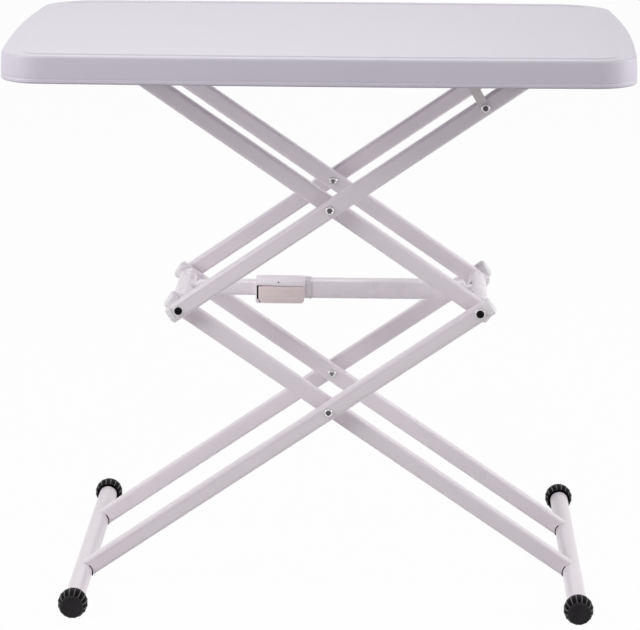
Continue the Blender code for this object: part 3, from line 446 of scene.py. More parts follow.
def makeGripRows():
    # rows of straight ribs, joined to the given piece
    tree, ids, given, out = addGeometryTree(
        "gripRows", {"Count": "Int", "Rib Radius": "Float", "Length": "Float", "Start": "Vector",
                     "Pitch": "Vector", "Material": "Material"})
    reach = addNode(tree, "ShaderNodeCombineXYZ", {"X": given["Length"]})
    path = addNode(tree, "GeometryNodeCurvePrimitiveLine", {"End": reach.outputs[0]})
    rows = addNode(tree, "GeometryNodeMeshLine", {
        "Count": given["Count"], "Start Location": given["Start"], "Offset": given["Pitch"]})
    copies = addNode(tree, "GeometryNodeInstanceOnPoints", {
        "Points": rows.outputs[0], "Instance": sweep(tree, path.outputs[0], given["Rib Radius"])})
    joined = addNode(tree, "GeometryNodeJoinGeometry", {0: copies.outputs[0]})
    feed(tree, given["Geometry"], joined.inputs[0])
    endTree(tree, joined.outputs[0], given, out)
    return tree, ids


def makeTaperedLine():
    # a bar along the given edges that thins out at both ends
    tree, ids, given, out = addGeometryTree("taperedLine", {"Radius": "Float", "Material": "Material"})
    path = addNode(tree, "GeometryNodeMeshToCurve", {0: given["Geometry"]})
    share = tree.nodes.new("GeometryNodeSplineParameter").outputs["Factor"]
    swell = calc(tree, "SINE", calc(tree, "MULTIPLY", share, pi))
    swell = calc(tree, "POWER", swell, swept["taperPower"])
    shaped = addNode(tree, "GeometryNodeSetCurveRadius", {
        "Curve": path.outputs[0], "Radius": calc(tree, "MAXIMUM", swell, swept["taperLeast"])})
    endTree(tree, sweep(tree, shaped.outputs[0], given["Radius"]), given, out)
    return tree, ids


def makeCoil():
    tree, ids, given, out = addGeometryTree(
        "coil", {"Turns": "Float", "Coil Radius": "Float", "Height": "Float", "Wire": "Float",
                 "Place": "Vector", "Material": "Material"})
    path = addNode(tree, "GeometryNodeCurveSpiral", {
        "Resolution": swept["coilPoints"], "Rotations": given["Turns"], "Start Radius": given["Coil Radius"],
        "End Radius": given["Coil Radius"], "Height": given["Height"]})
    placed = addNode(tree, "GeometryNodeTransform", {
        "Geometry": sweep(tree, path.outputs[0], given["Wire"]), "Translation": given["Place"]})
    endTree(tree, placed.outputs[0], given, out)
    return tree, ids


setOut = makeSetOut()
ribRound = makeRibRound()
gripRows = makeGripRows()
taperedLine = makeTaperedLine()
coil = makeCoil()


def grow(piece, treeAndIds, values):
    # runs a tree on the piece and keeps the result as its plain mesh
    tree, ids = treeAndIds
    modifier = piece.modifiers.new(tree.name, "NODES")
    modifier.node_group = tree
    for label, value in values.items():
        modifier[ids[label]] = value
    keepResult(piece, swept["sharpAngle"])


def setOutPiece(name, shapeMesh, places, material):
    # places are (position, euler angles); the shape itself never shows
    shape = bpy.data.objects.new(name + "Shape", shapeMesh)
    points = bpy.data.meshes.new(name)
    points.from_pydata([place for place, angles in places], [], [])
    facing = points.attributes.new("facing", "FLOAT_VECTOR", "POINT")
    for i, (place, angles) in enumerate(places):
        facing.data[i].vector = angles
    piece = addPiece(name, points, material)
    grow(piece, setOut, {"Shape": shape, "Size": 1.0, "Material": material})
    bpy.data.objects.remove(shape)
    return piece


# Table top
topForm = {
    "corner": 0.048, "rearCorner": 0.060, "rearPinch": 0.0068, "pinchPower": 1.5,
    "endBow": 0.0062, "endLean": 0.0022, "sideBow": 0.006,
    "cornerSteps": 14, "endSteps": 24, "sideSteps": 34, "sharpAngle": 32.0,
    "edge": 0.0026, "lowerEdge": 0.0028, "edgeSteps": 7, "lip": 0.0006,
    "grooveInset": 0.0135, "grooveWidth": 0.0100, "grooveDepth": 0.0034, "grooveAtEnds": 0.08,
    "beadHeight": 0.0046, "beadWidth": 0.0024, "beadDepth": 0.00028, "beadSteps": 6,
    "skirtWidth": 0.014, "skirtDrop": 0.0082, "skirtEase": 0.002,
    "channelInset": 0.034, "channelWidth": 0.012, "channelDepth": 0.0010,
}
# rings of the plug: share of the radius, level
ventPlug = {"radius": 0.004, "steps": 24,
            "rings": ((0.0, 0.0002), (0.6, 0.0002), (0.62, -0.0004), (1.0, -0.0006), (1.25, 0.0001))}


def topRing(inset, z, sink=0.0):
    # one closed line round the top; sink lowers it fully along front and rear, less along the ends
    form = topForm
    low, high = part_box("table_top")
    bow = form["endBow"] + form["endLean"] * (z - low[2]) / (high[2] - low[2])
    width = high[0] - low[0] - 2 * bow
    depth = high[1] - low[1] - 2 * form["sideBow"]
    radii = (form["rearCorner"], form["rearCorner"], form["corner"], form["corner"])
    signs = ((1, 1), (-1, 1), (-1, -1), (1, -1))
    centres = [Vector((sx * (width / 2 - r), sy * (depth / 2 - r))) for (sx, sy), r in zip(signs, radii)]
    outline = []
    for i, (centre, radius) in enumerate(zip(centres, radii)):
        for k in range(form["cornerSteps"] + 1):
            angle = pi / 2 * (i + k / form["cornerSteps"])
            outline.append((centre + (radius - inset) * Vector((cos(angle), sin(angle))), abs(sin(angle))))
        after = (i + 1) % 4
        steps = form["sideSteps"] if i % 2 == 0 else form["endSteps"]
        start, facing = outline[-1]
        angle = pi / 2 * (i + 1)
        stop = centres[after] + (radii[after] - inset) * Vector((cos(angle), sin(angle)))
        outline += [(start.lerp(stop, k / steps), facing) for k in range(1, steps)]
    ring = []
    for (x, y), facing in outline:
        swellX = bow * (1 - (2 * y / depth) ** 2) * 2 * x / width
        swellY = form["sideBow"] * (1 - (2 * x / width) ** 2) * 2 * y / depth
        share = form["grooveAtEnds"] + (1 - form["grooveAtEnds"]) * facing ** 2
        pinch = form["rearPinch"] * max(0.0, 2 * y / depth) ** form["pinchPower"] * 2 * x / width
        ring.append(Vector((x + swellX - pinch, y + swellY, z - sink * share)))
    return ring


def dip(inset, z, width, depth, steps=6):
    # round-bottomed groove: (inset, level) from its inner lip to its outer lip, above z
    shares = arc(1, steps)
    return [(inset + width * (1 - share), z + depth * sin(pi * share)) for share in shares]


def topProfile(low, high):
    # (inset, level) or (inset, level, sink) from the groove over the edge and skirt to the underside
    form = topForm
    topZ = high[2]
    skirtZ = low[2] + footLift
    underZ = low[2] + form["skirtDrop"]
    lip = form["lip"]
    inset, edge, foot = form["grooveInset"], form["edge"], form["lowerEdge"]
    skirt, channel = form["skirtWidth"], form["channelInset"]
    groove = dip(inset, 0, form["grooveWidth"], form["grooveDepth"])
    profile = [(inset + form["grooveWidth"] + 4 * lip, topZ)]
    profile += [(place, topZ, sink) for place, sink in groove]
    profile += [(inset - 4 * lip, topZ), (edge + 2 * lip, topZ)]
    profile += reversed(roundOver(skirtZ, topZ, edge, form["edgeSteps"]))
    profile += [(0, topZ - edge - lip)]
    for share in arc(1, form["beadSteps"]):
        profile.append((form["beadDepth"] * sin(pi * share) ** 2,
                        skirtZ + form["beadHeight"] + form["beadWidth"] * (1 - share)))
    profile += roundOver(topZ, skirtZ, foot, form["edgeSteps"])
    profile += [(foot + lip, skirtZ), (skirt - lip, skirtZ), (skirt, skirtZ)]
    profile += [(skirt + form["skirtEase"], underZ), (skirt + form["skirtEase"] + lip, underZ)]
    profile += [(channel - lip, underZ)]
    profile += reversed(dip(channel, underZ, form["channelWidth"], form["channelDepth"]))
    return profile + [(channel + form["channelWidth"] + lip, underZ)]


def makeTop():
    low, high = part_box("table_top")
    bm = bmesh.new()
    skin(bm, [topRing(*line) for line in topProfile(low, high)])
    piece = addPiece("moulded_top", toMesh(bm, "moulded_top", topForm["sharpAngle"]), paint["topPlastic"])
    settle(piece, "table_top")

    bm = bmesh.new()
    skin(bm, [ringY(ventPlug["radius"] * share, y, ventPlug["steps"]) for share, y in ventPlug["rings"]])
    bmesh.ops.rotate(bm, verts=bm.verts, cent=(0, 0, 0), matrix=Matrix.Rotation(pi / 2, 3, "X"))
    bmesh.ops.translate(bm, verts=bm.verts, vec=(0, 0, low[2] + topForm["skirtDrop"]))
    plug = addPiece("vent_plug", toMesh(bm, "vent_plug"), paint["topPlastic"])
    addTrim(plug, "table_top")


makeTop()
print("top: moulded slab with groove, bead and skirt")


# Rails, slide rods and stays
railForm = {"edge": 0.0003, "pinEdge": 0.0003, "stayEdge": 0.0006}
railScrew = {"headRadius": 0.0042, "headHeight": 0.0020, "socketRadius": 0.0019, "socketDepth": 0.0010,
             "setIn": 0.012, "sheet": 0.0025}
# curve: shares of the head's radius and height; tip: depth of the socket's point
panForm = {"root": 0.0002, "curve": ((1.0, 0.35), (0.93, 0.7), (0.75, 0.93), (0.55, 1.0)), "tip": 1.2,
           "steps": 24}
slideRod = {"radius": 0.005, "headRadius": 0.0068, "head": 0.002, "ease": 0.0005, "steps": 32}


def panHead(name, look):
    # a pan head that looks along -Y, with a six-sided socket
    rim, top = look["headRadius"], -look["headHeight"]
    socket, deep = look["socketRadius"], look["socketDepth"]
    rings = [(0, panForm["root"]), (rim, panForm["root"])]
    rings += [(rim * wide, top * tall) for wide, tall in panForm["curve"]]
    rings += [(socket, top, 6), (socket, top + deep, 6), (0, top + deep * panForm["tip"])]
    return turn(name, rings, panForm["steps"])


def makeRails():
    screws = []
    sheet = railScrew["sheet"]
    for side in sides:
        for end in ends:
            node = f"{side}_rail_{end}"
            finishNode(node, paint["zincSheet"], railForm["edge"])
            low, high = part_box(node)
            sign = 1 if high[1] > 0 else -1
            face, outer = (low[1], high[1]) if sign > 0 else (high[1], low[1])
            middle = (face + sign * sheet + outer) / 2
            for x in (low[0] + railScrew["setIn"], high[0] - railScrew["setIn"]):
                screws.append((Vector((x, middle, high[2] - sheet)), (pi / 2, 0, 0)))
    piece = setOutPiece("rail_screws", panHead("railScrew", railScrew), screws, paint["rivetSteel"])
    addTrim(piece, "table_top")
    for end in ends:
        finishNode(f"stay_pin_{end}", paint["rivetSteel"], railForm["pinEdge"])
        finishNode(f"stay_{end}", paint["stayPaint"], railForm["stayEdge"])


def makeSlideRods():
    form = slideRod
    rim, ease = form["headRadius"], form["ease"]
    for side in sides:
        node = f"{side}_slide_rod"
        half = halfLength(node)
        seat = half - form["head"]
        end = ((form["radius"], seat), (rim, seat), (rim, half - ease), (rim - ease, half), (0, half))
        mesh = turn(node, bothEnds(end), form["steps"], centreOf(node))
        settle(addPiece(node + "_bright", mesh, paint["rivetSteel"]), node)


makeRails()
makeSlideRods()
print("rails, rods and stays: 8 screws set out")


# Arms, caps and pivots
# the rear arms take the lighter rearPaint, which is painted light
armForm = {"edge": 0.0005, "capEdge": 0.0009, "frontPaint": "whitePaint", "rearPaint": "rearPaint"}
rivetForm = {"shank": 0.004, "headRadius": 0.0054, "head": 0.0028, "clinch": 0.0018,
             "headBore": 0.0031, "clinchBore": 0.0026, "boreDepth": 0.0016, "boreTaper": 0.94,
             "lipShare": 0.4, "lipSteps": 8, "steps": 32}
# foot, rim and both hollows are shares of the bore
plugForm = {"setIn": 0.0008, "root": 0.0002, "proud": 0.0001, "foot": 0.93, "rim": 0.96,
            "hollow": 0.66, "hollowFoot": 0.6, "steps": 24}
spacerForm = {"ease": 0.0004, "clear": 0.0003, "steps": 32}
kneeBolt = {"shank": 0.004, "headRadius": 0.0050, "head": 0.003, "wallShare": 0.35, "domeSteps": 6,
            "socketRadius": 0.0022, "socketDepth": 0.0012, "steps": 36}
kneeWasher = {"radius": 0.0066, "thickness": 0.0006, "ease": 0.0002, "steps": 36}
crossTube = {"radius": 0.009, "ease": 0.0006, "steps": 48}


def makeArms():
    for frameName in ("upper_outer", "upper_inner", "lower_outer", "lower_inner"):
        for end in ends:
            coat = paint[armForm[end + "Paint"]]
            finishNode(f"{frameName}_arm_{end}", coat, armForm["edge"])
            finishNode(f"{frameName}_knee_cap_{end}", paint["capPlastic"], armForm["capEdge"])


def rolledEnd(bore, thick):
    # (radius, distance from the end) from the bore's floor over the rolled lip to the outside
    form = rivetForm
    rim = form["headRadius"]
    lip = (rim + bore) / 2
    rise = thick * form["lipShare"]
    lines = [(0, form["boreDepth"]), (bore * form["boreTaper"], form["boreDepth"]), (bore, rise)]
    for angle in arc(pi, form["lipSteps"])[1:]:
        lines.append((lip - (lip - bore) * cos(angle), rise * (1 - sin(angle))))
    return lines + [(rim, thick), (form["shank"], thick)]


def rivetShape(node):
    # head along -Y, clinched end along +Y, centred on its own length
    half = halfLength(node)
    head = [(radius, y - half) for radius, y in rolledEnd(rivetForm["headBore"], rivetForm["head"])]
    clinch = [(radius, half - y) for radius, y in rolledEnd(rivetForm["clinchBore"], rivetForm["clinch"])]
    return turn(node + "Rivet", head + clinch[::-1], rivetForm["steps"])


def plugShape(node, bore):
    # a dark plug inside a bore, painted shade in the rivet's hollow, its own six-sided hollow towards -Y
    form = plugForm
    half = halfLength(node)
    floor = rivetForm["boreDepth"] - half
    root, bed, rim = floor + form["root"], floor - form["proud"], form["setIn"] - half
    rings = ((0, root), (bore * form["foot"], root), (bore * form["rim"], rim),
             (bore * form["hollow"], rim, 6), (bore * form["hollowFoot"], bed, 6), (0, bed))
    return turn(node + "Plug", rings, form["steps"])


def makeRivets():
    for group in ("upper_cross_rivet", "lower_cross_rivet", "stay_rivet"):
        nodes = [f"{group}_{end}" for end in ends]
        spots = [centreOf(node) for node in nodes]
        outward = list(zip(spots, ((0, 0, 0), (0, 0, pi))))
        inward = list(zip(spots, ((0, 0, pi), (0, 0, 0))))
        settle(setOutPiece(group + "s", rivetShape(nodes[0]), outward, paint["rivetSteel"]), *nodes)
        # plugs of painted shade in the bores at both ends of each rivet
        sorts = (("head", rivetForm["headBore"], outward, "rivetHeadBoreShade", "black_steel"),
                 ("clinch", rivetForm["clinchBore"], inward, "rivetClinchBoreShade", "rivet_steel"))
        for name, bore, places, look, slot in sorts:
            plugs = setOutPiece(f"{group}_{name}_plugs", plugShape(nodes[0], bore), places, paint[look])
            addTrim(plugs, bodyOf[nodes[0]])


def makeSpacers():
    form = spacerForm
    shanks = {"cross": rivetForm["shank"], "knee": kneeBolt["shank"]}
    for place, kind in (("upper", "cross"), ("lower", "cross"), ("left", "knee"), ("right", "knee")):
        for end in ends:
            node = f"{place}_{kind}_spacer_{end}"
            low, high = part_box(node)
            radius, bore = (high[2] - low[2]) / 2, shanks[kind] + form["clear"]
            rings = barRings(halfLength(node), radius, form["ease"], bore)
            mesh = turn(node, rings, form["steps"], centreOf(node), True)
            settle(addPiece(node + "_ring", mesh, paint["nylonNatural"]), node)


def addPaintedBar(node, form, material):
    # a round bar that fills the length of its CAD node
    mesh = turn(node, barRings(halfLength(node), form["radius"], form["ease"]), form["steps"], centreOf(node))
    settle(addPiece(node + "_painted", mesh, material), node)


def makeKneeBolt(node):
    form = kneeBolt
    half = halfLength(node)
    seat = half - form["head"]
    socket, floor = form["socketRadius"], half - form["socketDepth"]
    wall = form["wallShare"]
    end = [(form["shank"], seat), (form["headRadius"], seat)]
    for angle in arc(pi / 2, form["domeSteps"]):
        end.append((socket + (form["headRadius"] - socket) * cos(angle),
                    seat + form["head"] * (wall + (1 - wall) * sin(angle))))
    end += [(socket, half, 6), (socket, floor, 6), (0, floor)]
    mesh = turn(node, bothEnds(end), form["steps"], centreOf(node))
    settle(addPiece(node + "_bolt", mesh, paint["blackSteel"]), node)


def makeKneeWashers(side, node):
    form = kneeWasher
    bore, rim, ease, back = kneeBolt["shank"], form["radius"], form["ease"], -form["thickness"]
    rings = ((bore, 0), (rim, 0), (rim, back + ease), (rim - ease, back), (bore, back))
    shape = turn("kneeWasher", rings, form["steps"], closed=True)
    seat = halfLength(node) - kneeBolt["head"]
    places = [(centreOf(node) + Vector((0, -seat, 0)), (0, 0, 0)),
              (centreOf(node) + Vector((0, seat, 0)), (0, 0, pi))]
    washers = setOutPiece(f"{side}_knee_washers", shape, places, paint["rivetSteel"])
    addTrim(washers, bodyOf[node])


def makeKnees():
    for side in sides:
        makeKneeBolt(f"{side}_knee_axle")
        makeKneeWashers(side, f"{side}_knee_axle")
        addPaintedBar(f"{side}_cross_tube", crossTube, paint["paintedLightBarPaint"])


makeArms()
makeRivets()
makeSpacers()
makeKnees()
print("frames: arms, caps, rivets, spacers and knee bolts")


# Foot bars and their ribbed caps
footBar = {"radius": 0.012, "ease": 0.0006, "steps": 48}
footCap = {"radius": 0.0187, "back": 0.0155, "shoulder": 0.0148, "face": 0.0122, "flute": 0.0006,
           "bore": 0.0121, "shoulderSet": 0.0024, "shoulderSteps": 5, "ribs": 16, "ribRadius": 0.00065,
           "rings": 14, "steps": 64, "lapShare": 0.96, "lap": 0.0005,
           "dishRim": 0.86, "dishEase": 0.0001, "dishShare": 0.8, "dish": 0.0005}
# a dark bead of painted shade in the open joint of each arm and foot bar
footGapShade = {"high": 0.0024, "low": -0.0100, "points": 12, "radius": 0.0011, "sink": 0.0005, "clear": 0.0003}


def makeFeet():
    for side in sides:
        addPaintedBar(f"{side}_foot_tube", footBar, paint["whitePaint"])
        for end in ends:
            makeFootCap(f"{side}_foot_cap_{end}")


def makeFootCap(node):
    # a barrel that narrows to both ends, with ribs laid along its curve
    form = footCap
    centre = centreOf(node)
    out = -1 if centre.y < 0 else 1
    half = halfLength(node)
    start = -half
    stop = half - form["shoulderSet"]
    back, shoulder, face = form["back"], form["shoulder"], form["face"]
    bulge = 2 * form["radius"] - (back + shoulder) / 2
    barrel = [(form["bore"], start)]
    for t in arc(1, form["rings"]):
        envelope = (1 - t) ** 2 * back + 2 * t * (1 - t) * bulge + t ** 2 * shoulder
        barrel.append((envelope - form["flute"], start + (stop - start) * t))
    edge = shoulder - form["flute"]
    disc = [(edge * form["lapShare"], stop - form["lap"]), (edge, stop)]
    for angle in arc(pi / 2, form["shoulderSteps"])[1:]:
        disc.append((face + (edge - face) * cos(angle), stop + form["shoulderSet"] * sin(angle)))
    floor = half - form["dish"]
    disc += [(face * form["dishRim"], half - form["dishEase"]), (face * form["dishShare"], floor), (0, floor)]

    def addTurned(name, rings, material):
        mirrored = [(radius, out * y) for radius, y in rings]
        return addPiece(name, turn(name, mirrored, form["steps"], centre), material)

    settle(addTurned(node + "_barrel", barrel, paint["blackRubberAndPaintedShade"]), node)
    addTrim(addTurned(node + "_face", disc, paint["capFace"]), bodyOf[node])
    rib = form["ribRadius"]
    # the ribs take the lighter rubber: painted highlight along their tops
    ribs = addPiece(node + "_ribs", bpy.data.meshes.new(node + "_ribs"), paint["paintedHighlightRubber"])
    grow(ribs, ribRound, {
        "Count": form["ribs"], "Rib Radius": rib,
        "Start": (0, out * (start + rib), -(back - rib)),
        "Middle": (0, out * (start + stop) / 2, -(bulge - rib)),
        "End": (0, out * stop, -(shoulder - rib)),
        "Place": centre, "Material": paint["paintedHighlightRubber"]})
    addTrim(ribs, bodyOf[node])


def makeFootGapShades():
    # painted shade: a dark bead along the open joint where the cut end of an arm meets its foot bar
    form = footGapShade
    for side, frameName in (("left", "lower_outer"), ("right", "lower_inner")):
        foot = centreOf(f"{side}_foot_tube")
        along = centreOf("lower_cross_rivet_front") - foot
        along = Vector((along.x, 0, along.z)).normalized()
        across = Vector((-along.z, 0, along.x)) * (1 if along.x > 0 else -1)
        reach = footBar["radius"] + form["clear"]
        points = []
        links = []
        for end in ends:
            low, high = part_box(f"{frameName}_arm_{end}")
            for face, inward in ((low[1], 1), (high[1], -1)):
                for k in range(form["points"] + 1):
                    u = form["high"] + (form["low"] - form["high"]) * k / form["points"]
                    place = foot + along * (reach ** 2 - u ** 2) ** 0.5 + across * u
                    place.y = face + inward * form["sink"]
                    if k:
                        links.append((len(points) - 1, len(points)))
                    points.append(place)
        mesh = bpy.data.meshes.new(f"{side}_foot_seams")
        mesh.from_pydata(points, links, [])
        piece = addPiece(f"{side}_foot_seams", mesh, paint["blackRubberAndPaintedShade"])
        grow(piece, taperedLine, {"Radius": form["radius"], "Material": paint["blackRubberAndPaintedShade"]})
        addTrim(piece, frameName)


makeFeet()
makeFootGapShades()
print("feet: two bars and four caps with", footCap["ribs"], "ribs")


# Telescoping lock bar, its housing and lever
lockForm = {"tubeEdge": 0.0005, "loopEdge": 0.0004, "housingEdge": 0.0006}
lockSleeve = {"radius": 0.0119, "bore": 0.0093, "clear": 0.0006, "ease": 0.0008, "steps": 48}
sleeveScrew = {"headRadius": 0.0017, "headHeight": 0.0005, "socketRadius": 0.0007, "socketDepth": 0.0004,
               "tilt": 45.0, "fromMiddle": 0.020}
leverForm = {"wall": 0.002, "floor": 0.0023, "leftRound": 0.0075, "rightRound": 0.0055, "topRound": 0.0012,
             "roundSteps": 8, "ease": 0.0006, "easeSegments": 3, "easeAngle": 60.0, "spare": 0.01,
             "grips": 5, "gripRadius": 0.0006, "gripPitch": 0.0027, "gripStart": 0.0060, "gripEnd": 0.0120,
             "gripRise": 0.0062, "gripSink": 0.5, "tooth": (0.004, 0.008, 0.0077), "toothSet": 0.0128}
# a black sheet of painted shade behind the lever's open end
leverGapShade = {"lip": 0.0013, "past": 0.0060, "rise": 0.0046, "top": 0.0002, "depth": 0.0003, "pocket": 0.0024}
leverPin = {"radius": 0.0012, "inside": 0.0022, "ease": 0.0003, "steps": 20}
leverSpring = {"turns": 3.0, "wire": 0.0003, "keep": 0.78}
# rings of the pin head: share of the radius, level
housingPin = {"radius": 0.0009, "fromLeft": 0.0292, "fromTop": 0.0022, "steps": 20,
              "rings": ((0.0, 0.0004), (1.0, 0.0004), (1.0, -0.00015), (0.6, -0.0003), (0.0, -0.0003))}


def makeLockSleeves():
    # the broad eye at each end of the lock bar, round the cross tube
    form = lockSleeve
    for side, body in (("left", "lock_inner"), ("right", "lock_outer")):
        tube = f"{side}_cross_tube"
        name = f"{side}_lock_sleeve"
        rings = barRings(halfLength(tube) - form["clear"], form["radius"], form["ease"], form["bore"])
        sleeve = addPiece(name, turn(name, rings, form["steps"], centreOf(tube), True), paint["paintedLightBarPaint"])
        addTrim(sleeve, body)
    tilt = radians(sleeveScrew["tilt"])
    reach = form["radius"] * Vector((-sin(tilt), 0, cos(tilt)))
    place = centreOf("right_cross_tube") + reach + Vector((0, sleeveScrew["fromMiddle"], 0))
    shape = panHead("sleeveScrew", sleeveScrew)
    screw = setOutPiece("lock_sleeve_screw", shape, [(place, (-pi / 2, -tilt, 0))], paint["blackSteel"])
    addTrim(screw, "lock_outer")


def leverOutline(low, high):
    # the lever's side seen from the front, each corner with its own round
    form = leverForm
    left, right, top = form["leftRound"], form["rightRound"], form["topRound"]
    corners = ((low[0], low[2], 1, 1, left, pi), (high[0], low[2], -1, 1, right, 1.5 * pi),
               (high[0], high[2], -1, -1, right, 0), (low[0], high[2], 1, -1, top, pi / 2))
    points = []
    for x, z, inX, inZ, radius, start in corners:
        for angle in arc(pi / 2, form["roundSteps"]):
            points.append((x + inX * radius + radius * cos(start + angle),
                           z + inZ * radius + radius * sin(start + angle)))
    return points


def addBlock(name, low, high, material):
    bm = bmesh.new()
    corners = ((low[0], low[1]), (high[0], low[1]), (high[0], high[1]), (low[0], high[1]))
    skin(bm, [[Vector((x, y, z)) for x, y in corners] for z in (low[2], high[2])])
    return addPiece(name, toMesh(bm, name), material)


def carve(piece, other, operation):
    # joins or cuts with another shape, which is then gone
    cut = piece.modifiers.new(operation.lower(), "BOOLEAN")
    cut.operation = operation
    cut.solver = "EXACT"
    cut.object = other
    keepResult(piece)
    bpy.data.objects.remove(other)


def makeLever():
    form = leverForm
    plastic = paint["leverPlastic"]
    low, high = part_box("release_lever")
    outline = leverOutline(low, high)
    bm = bmesh.new()
    skin(bm, [[Vector((x, y, z)) for x, z in outline] for y in (low[1], high[1])])
    piece = addPiece("lever_paddle", toMesh(bm, "lever_paddle"), plastic)
    spare = form["spare"]
    channelLow = (low[0] - spare, low[1] + form["wall"], low[2] + form["floor"])
    channelHigh = (high[0] + spare, high[1] - form["wall"], high[2] + spare)
    carve(piece, addBlock("leverChannel", channelLow, channelHigh, plastic), "DIFFERENCE")
    length, depth, rise = form["tooth"]
    x = high[0] - form["toothSet"]
    toothLow = (x - length / 2, -depth / 2, low[2] + form["floor"] / 2)
    toothHigh = (x + length / 2, depth / 2, low[2] + rise)
    carve(piece, addBlock("leverTooth", toothLow, toothHigh, plastic), "UNION")
    easeEdges(piece, form["ease"], form["easeSegments"], form["easeAngle"])
    keepResult(piece)
    grip = form["gripRadius"]
    for y, inward in ((low[1], 1), (high[1], -1)):
        start = (low[0] + form["gripStart"], y + inward * grip * form["gripSink"], low[2] + form["gripRise"])
        grow(piece, gripRows, {
            "Count": form["grips"], "Rib Radius": grip, "Start": start, "Pitch": (0, 0, form["gripPitch"]),
            "Length": high[0] - low[0] - form["gripStart"] - form["gripEnd"], "Material": plastic})
    settle(piece, "release_lever")


def makeLeverGapShade():
    # painted shade: a black sheet on the housing behind the open end of the lever
    form = leverGapShade
    low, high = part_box("release_lever")
    houseLow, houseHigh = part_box("lock_housing")
    for end, face, inward in (("front", houseLow[1], 1), ("rear", houseHigh[1], -1)):
        wall = face + inward * form["pocket"]
        near, far = sorted((wall, wall - inward * form["depth"]))
        shadeSheetLow = (houseLow[0] + form["lip"], near, houseLow[2] + form["rise"])
        shadeSheetHigh = (low[0] + form["past"], far, high[2] + form["top"])
        shadeSheet = addBlock(f"lever_gap_liner_{end}", shadeSheetLow, shadeSheetHigh, paint["blackRubberAndPaintedShade"])
        addTrim(shadeSheet, "lock_outer")


def makeLeverInside():
    low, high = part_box("release_lever")
    rings = barRings(high[1] - leverPin["inside"], leverPin["radius"], leverPin["ease"])
    mesh = turn("lever_pin_bright", rings, leverPin["steps"], centreOf("lever_pin"))
    settle(addPiece("lever_pin_bright", mesh, paint["rivetSteel"]), "lever_pin")

    low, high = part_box("lever_spring")
    wire = leverSpring["wire"]
    seed = bpy.data.meshes.new("lever_spring_coil")
    piece = addPiece("lever_spring_coil", seed, paint["rivetSteel"])
    centre = centreOf("lever_spring")
    grow(piece, coil, {
        "Turns": leverSpring["turns"], "Coil Radius": (high[0] - low[0]) / 2 - wire,
        "Height": high[2] - low[2] - 2 * wire, "Wire": wire,
        "Place": (centre.x, centre.y, low[2] + wire), "Material": paint["rivetSteel"]})
    settle(piece, "lever_spring")
    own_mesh(piece)


def makeHousingPin():
    form = housingPin
    low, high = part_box("lock_housing")
    place = Vector((low[0] + form["fromLeft"], low[1], high[2] - form["fromTop"]))
    rings = [(form["radius"] * share, y) for share, y in form["rings"]]
    pin = addPiece("housing_pin", turn("housing_pin", rings, form["steps"], place), paint["blackSteel"])
    addTrim(pin, "lock_outer")


def makeLock():
    for node in ("lock_outer_tube", "lock_inner_tube"):
        finishNode(node, paint["paintedLightBarPaint"], lockForm["tubeEdge"])
    for side in sides:
        finishNode(f"lock_loop_{side}", paint["paintedLightBarPaint"], lockForm["loopEdge"], "white_steel")
    makeLockSleeves()
    finishNode("lock_housing", paint["housingPlastic"], lockForm["housingEdge"])
    makeLever()
    makeLeverGapShade()
    makeLeverInside()
    makeHousingPin()


makeLock()
print("lock: bar, housing, lever and spring")


# Floor, light and camera
studio = {
    "floorSize": 60.0, "floorColor": (0.70, 0.69, 0.70), "floorRough": 0.9, "floorWhite": 0.975,
    "skyLevel": 0.04, "skyColor": (1.0, 0.985, 1.0),
}
lamps = {
    "leftSoft": {"place": (-2.4, -1.2, 1.5), "aim": (0.0, 0.0, 0.35), "size": 1.6, "power": 45.5},
    "rightSoft": {"place": (2.4, -1.2, 1.5), "aim": (0.0, 0.0, 0.35), "size": 1.6, "power": 20.5},
    "rightSide": {"place": (2.7, 0.2, 1.1), "aim": (0.0, 0.0, 0.35), "size": 1.4, "power": 29.9},
    "frontTop": {"place": (-0.2, -2.2, 2.9), "aim": (0.0, 0.0, 0.30), "size": 1.6, "power": 19.4},
    "overhead": {"place": (-0.4, -0.2, 2.9), "aim": (0.0, 0.0, 0.60), "size": 2.0, "power": 9.4},
    "backHigh": {"place": (-0.3, 2.4, 2.6), "aim": (0.0, 0.0, 0.50), "size": 1.8, "power": 25.2},
}
camera = {
    "place": (0.0888, -3.708, 1.2142), "yaw": -0.02434, "pitch": 0.234, "roll": 0.0056,
    "focalPixels": 2967.7, "imageWidth": 640.0, "sensor": 36.0,
}


def seenWhite(tree):
    # 1 where the camera, a reflection or a clear material looks
    path = tree.nodes.new("ShaderNodeLightPath")
    seen = calc(tree, "MAXIMUM", path.outputs["Is Camera Ray"], path.outputs["Is Glossy Ray"])
    return calc(tree, "MAXIMUM", seen, path.outputs["Is Transmission Ray"])


def mixInWhite(tree, share, lit, whiteKind, outputName):
    white = addNode(tree, whiteKind, {"Color": (1.0, 1.0, 1.0, 1.0), "Strength": 1.0})
    mixed = addNode(tree, "ShaderNodeMixShader", {0: share, 1: lit.outputs[0], 2: white.outputs[0]})
    feed(tree, mixed.outputs[0], tree.nodes[outputName].inputs["Surface"])


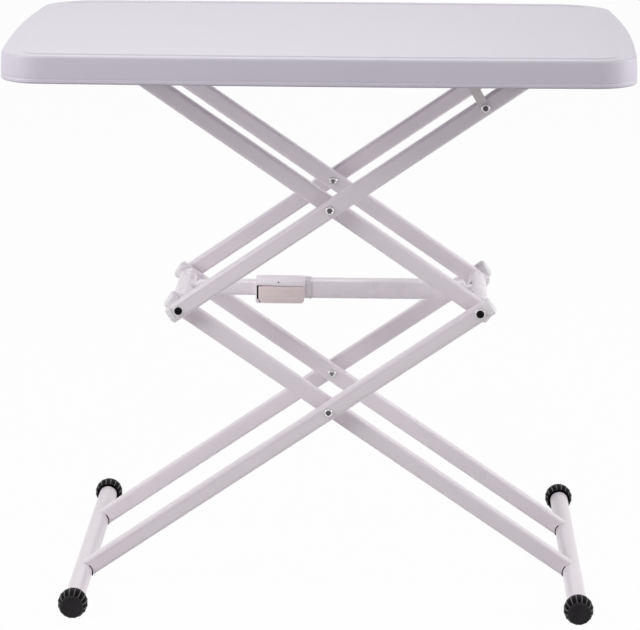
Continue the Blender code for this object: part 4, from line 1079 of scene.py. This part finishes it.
def makeFloor():
    half = studio["floorSize"] / 2
    corners = [(-half, -half, 0), (half, -half, 0), (half, half, 0), (-half, half, 0)]
    mesh = bpy.data.meshes.new("floor")
    mesh.from_pydata(corners, [], [(0, 1, 2, 3)])
    material = bpy.data.materials.new("studioFloor")
    material.use_nodes = True
    tree = material.node_tree
    shader = tree.nodes["Principled BSDF"]
    shader.inputs["Base Color"].default_value = (*studio["floorColor"], 1.0)
    shader.inputs["Roughness"].default_value = studio["floorRough"]
    shader.inputs["Specular IOR Level"].default_value = 0.0
    share = calc(tree, "MULTIPLY", seenWhite(tree), studio["floorWhite"])
    mixInWhite(tree, share, shader, "ShaderNodeEmission", "Material Output")
    addPiece("floor", mesh, material)


def makeSky():
    world = bpy.data.worlds.new("studioSky")
    world.use_nodes = True
    bpy.context.scene.world = world
    tree = world.node_tree
    soft = tree.nodes["Background"]
    soft.inputs["Color"].default_value = (*studio["skyColor"], 1.0)
    soft.inputs["Strength"].default_value = studio["skyLevel"]
    mixInWhite(tree, seenWhite(tree), soft, "ShaderNodeBackground", "World Output")


def addLamp(name):
    look = lamps[name]
    lamp = bpy.data.lights.new(name, "AREA")
    lamp.shape = "SQUARE"
    lamp.size = look["size"]
    lamp.energy = look["power"]
    item = addObject(name, lamp)
    item.visible_camera = False
    item.location = look["place"]
    aim = Vector(look["aim"]) - item.location
    item.rotation_euler = aim.to_track_quat("-Z", "Y").to_euler()


def addCamera():
    lens = bpy.data.cameras.new("camera")
    lens.sensor_fit = "HORIZONTAL"
    lens.sensor_width = camera["sensor"]
    lens.lens = camera["focalPixels"] * camera["sensor"] / camera["imageWidth"]
    item = addObject("camera", lens)
    yaw, pitch, roll = camera["yaw"], camera["pitch"], camera["roll"]
    ahead = Vector((sin(yaw) * cos(pitch), cos(yaw) * cos(pitch), -sin(pitch)))
    level = Vector((cos(yaw), -sin(yaw), 0))
    above = level.cross(ahead)
    right = cos(roll) * level + sin(roll) * above
    up = cos(roll) * above - sin(roll) * level
    turned = Matrix((right, up, -ahead)).transposed()
    item.matrix_world = Matrix.Translation(camera["place"]) @ turned.to_4x4()
    bpy.context.scene.camera = item


makeFloor()
makeSky()
for name in lamps:
    addLamp(name)
addCamera()
bpy.context.scene.view_settings.view_transform = "Standard"
print("studio: floor, sky,", len(lamps), "lamps and the camera")
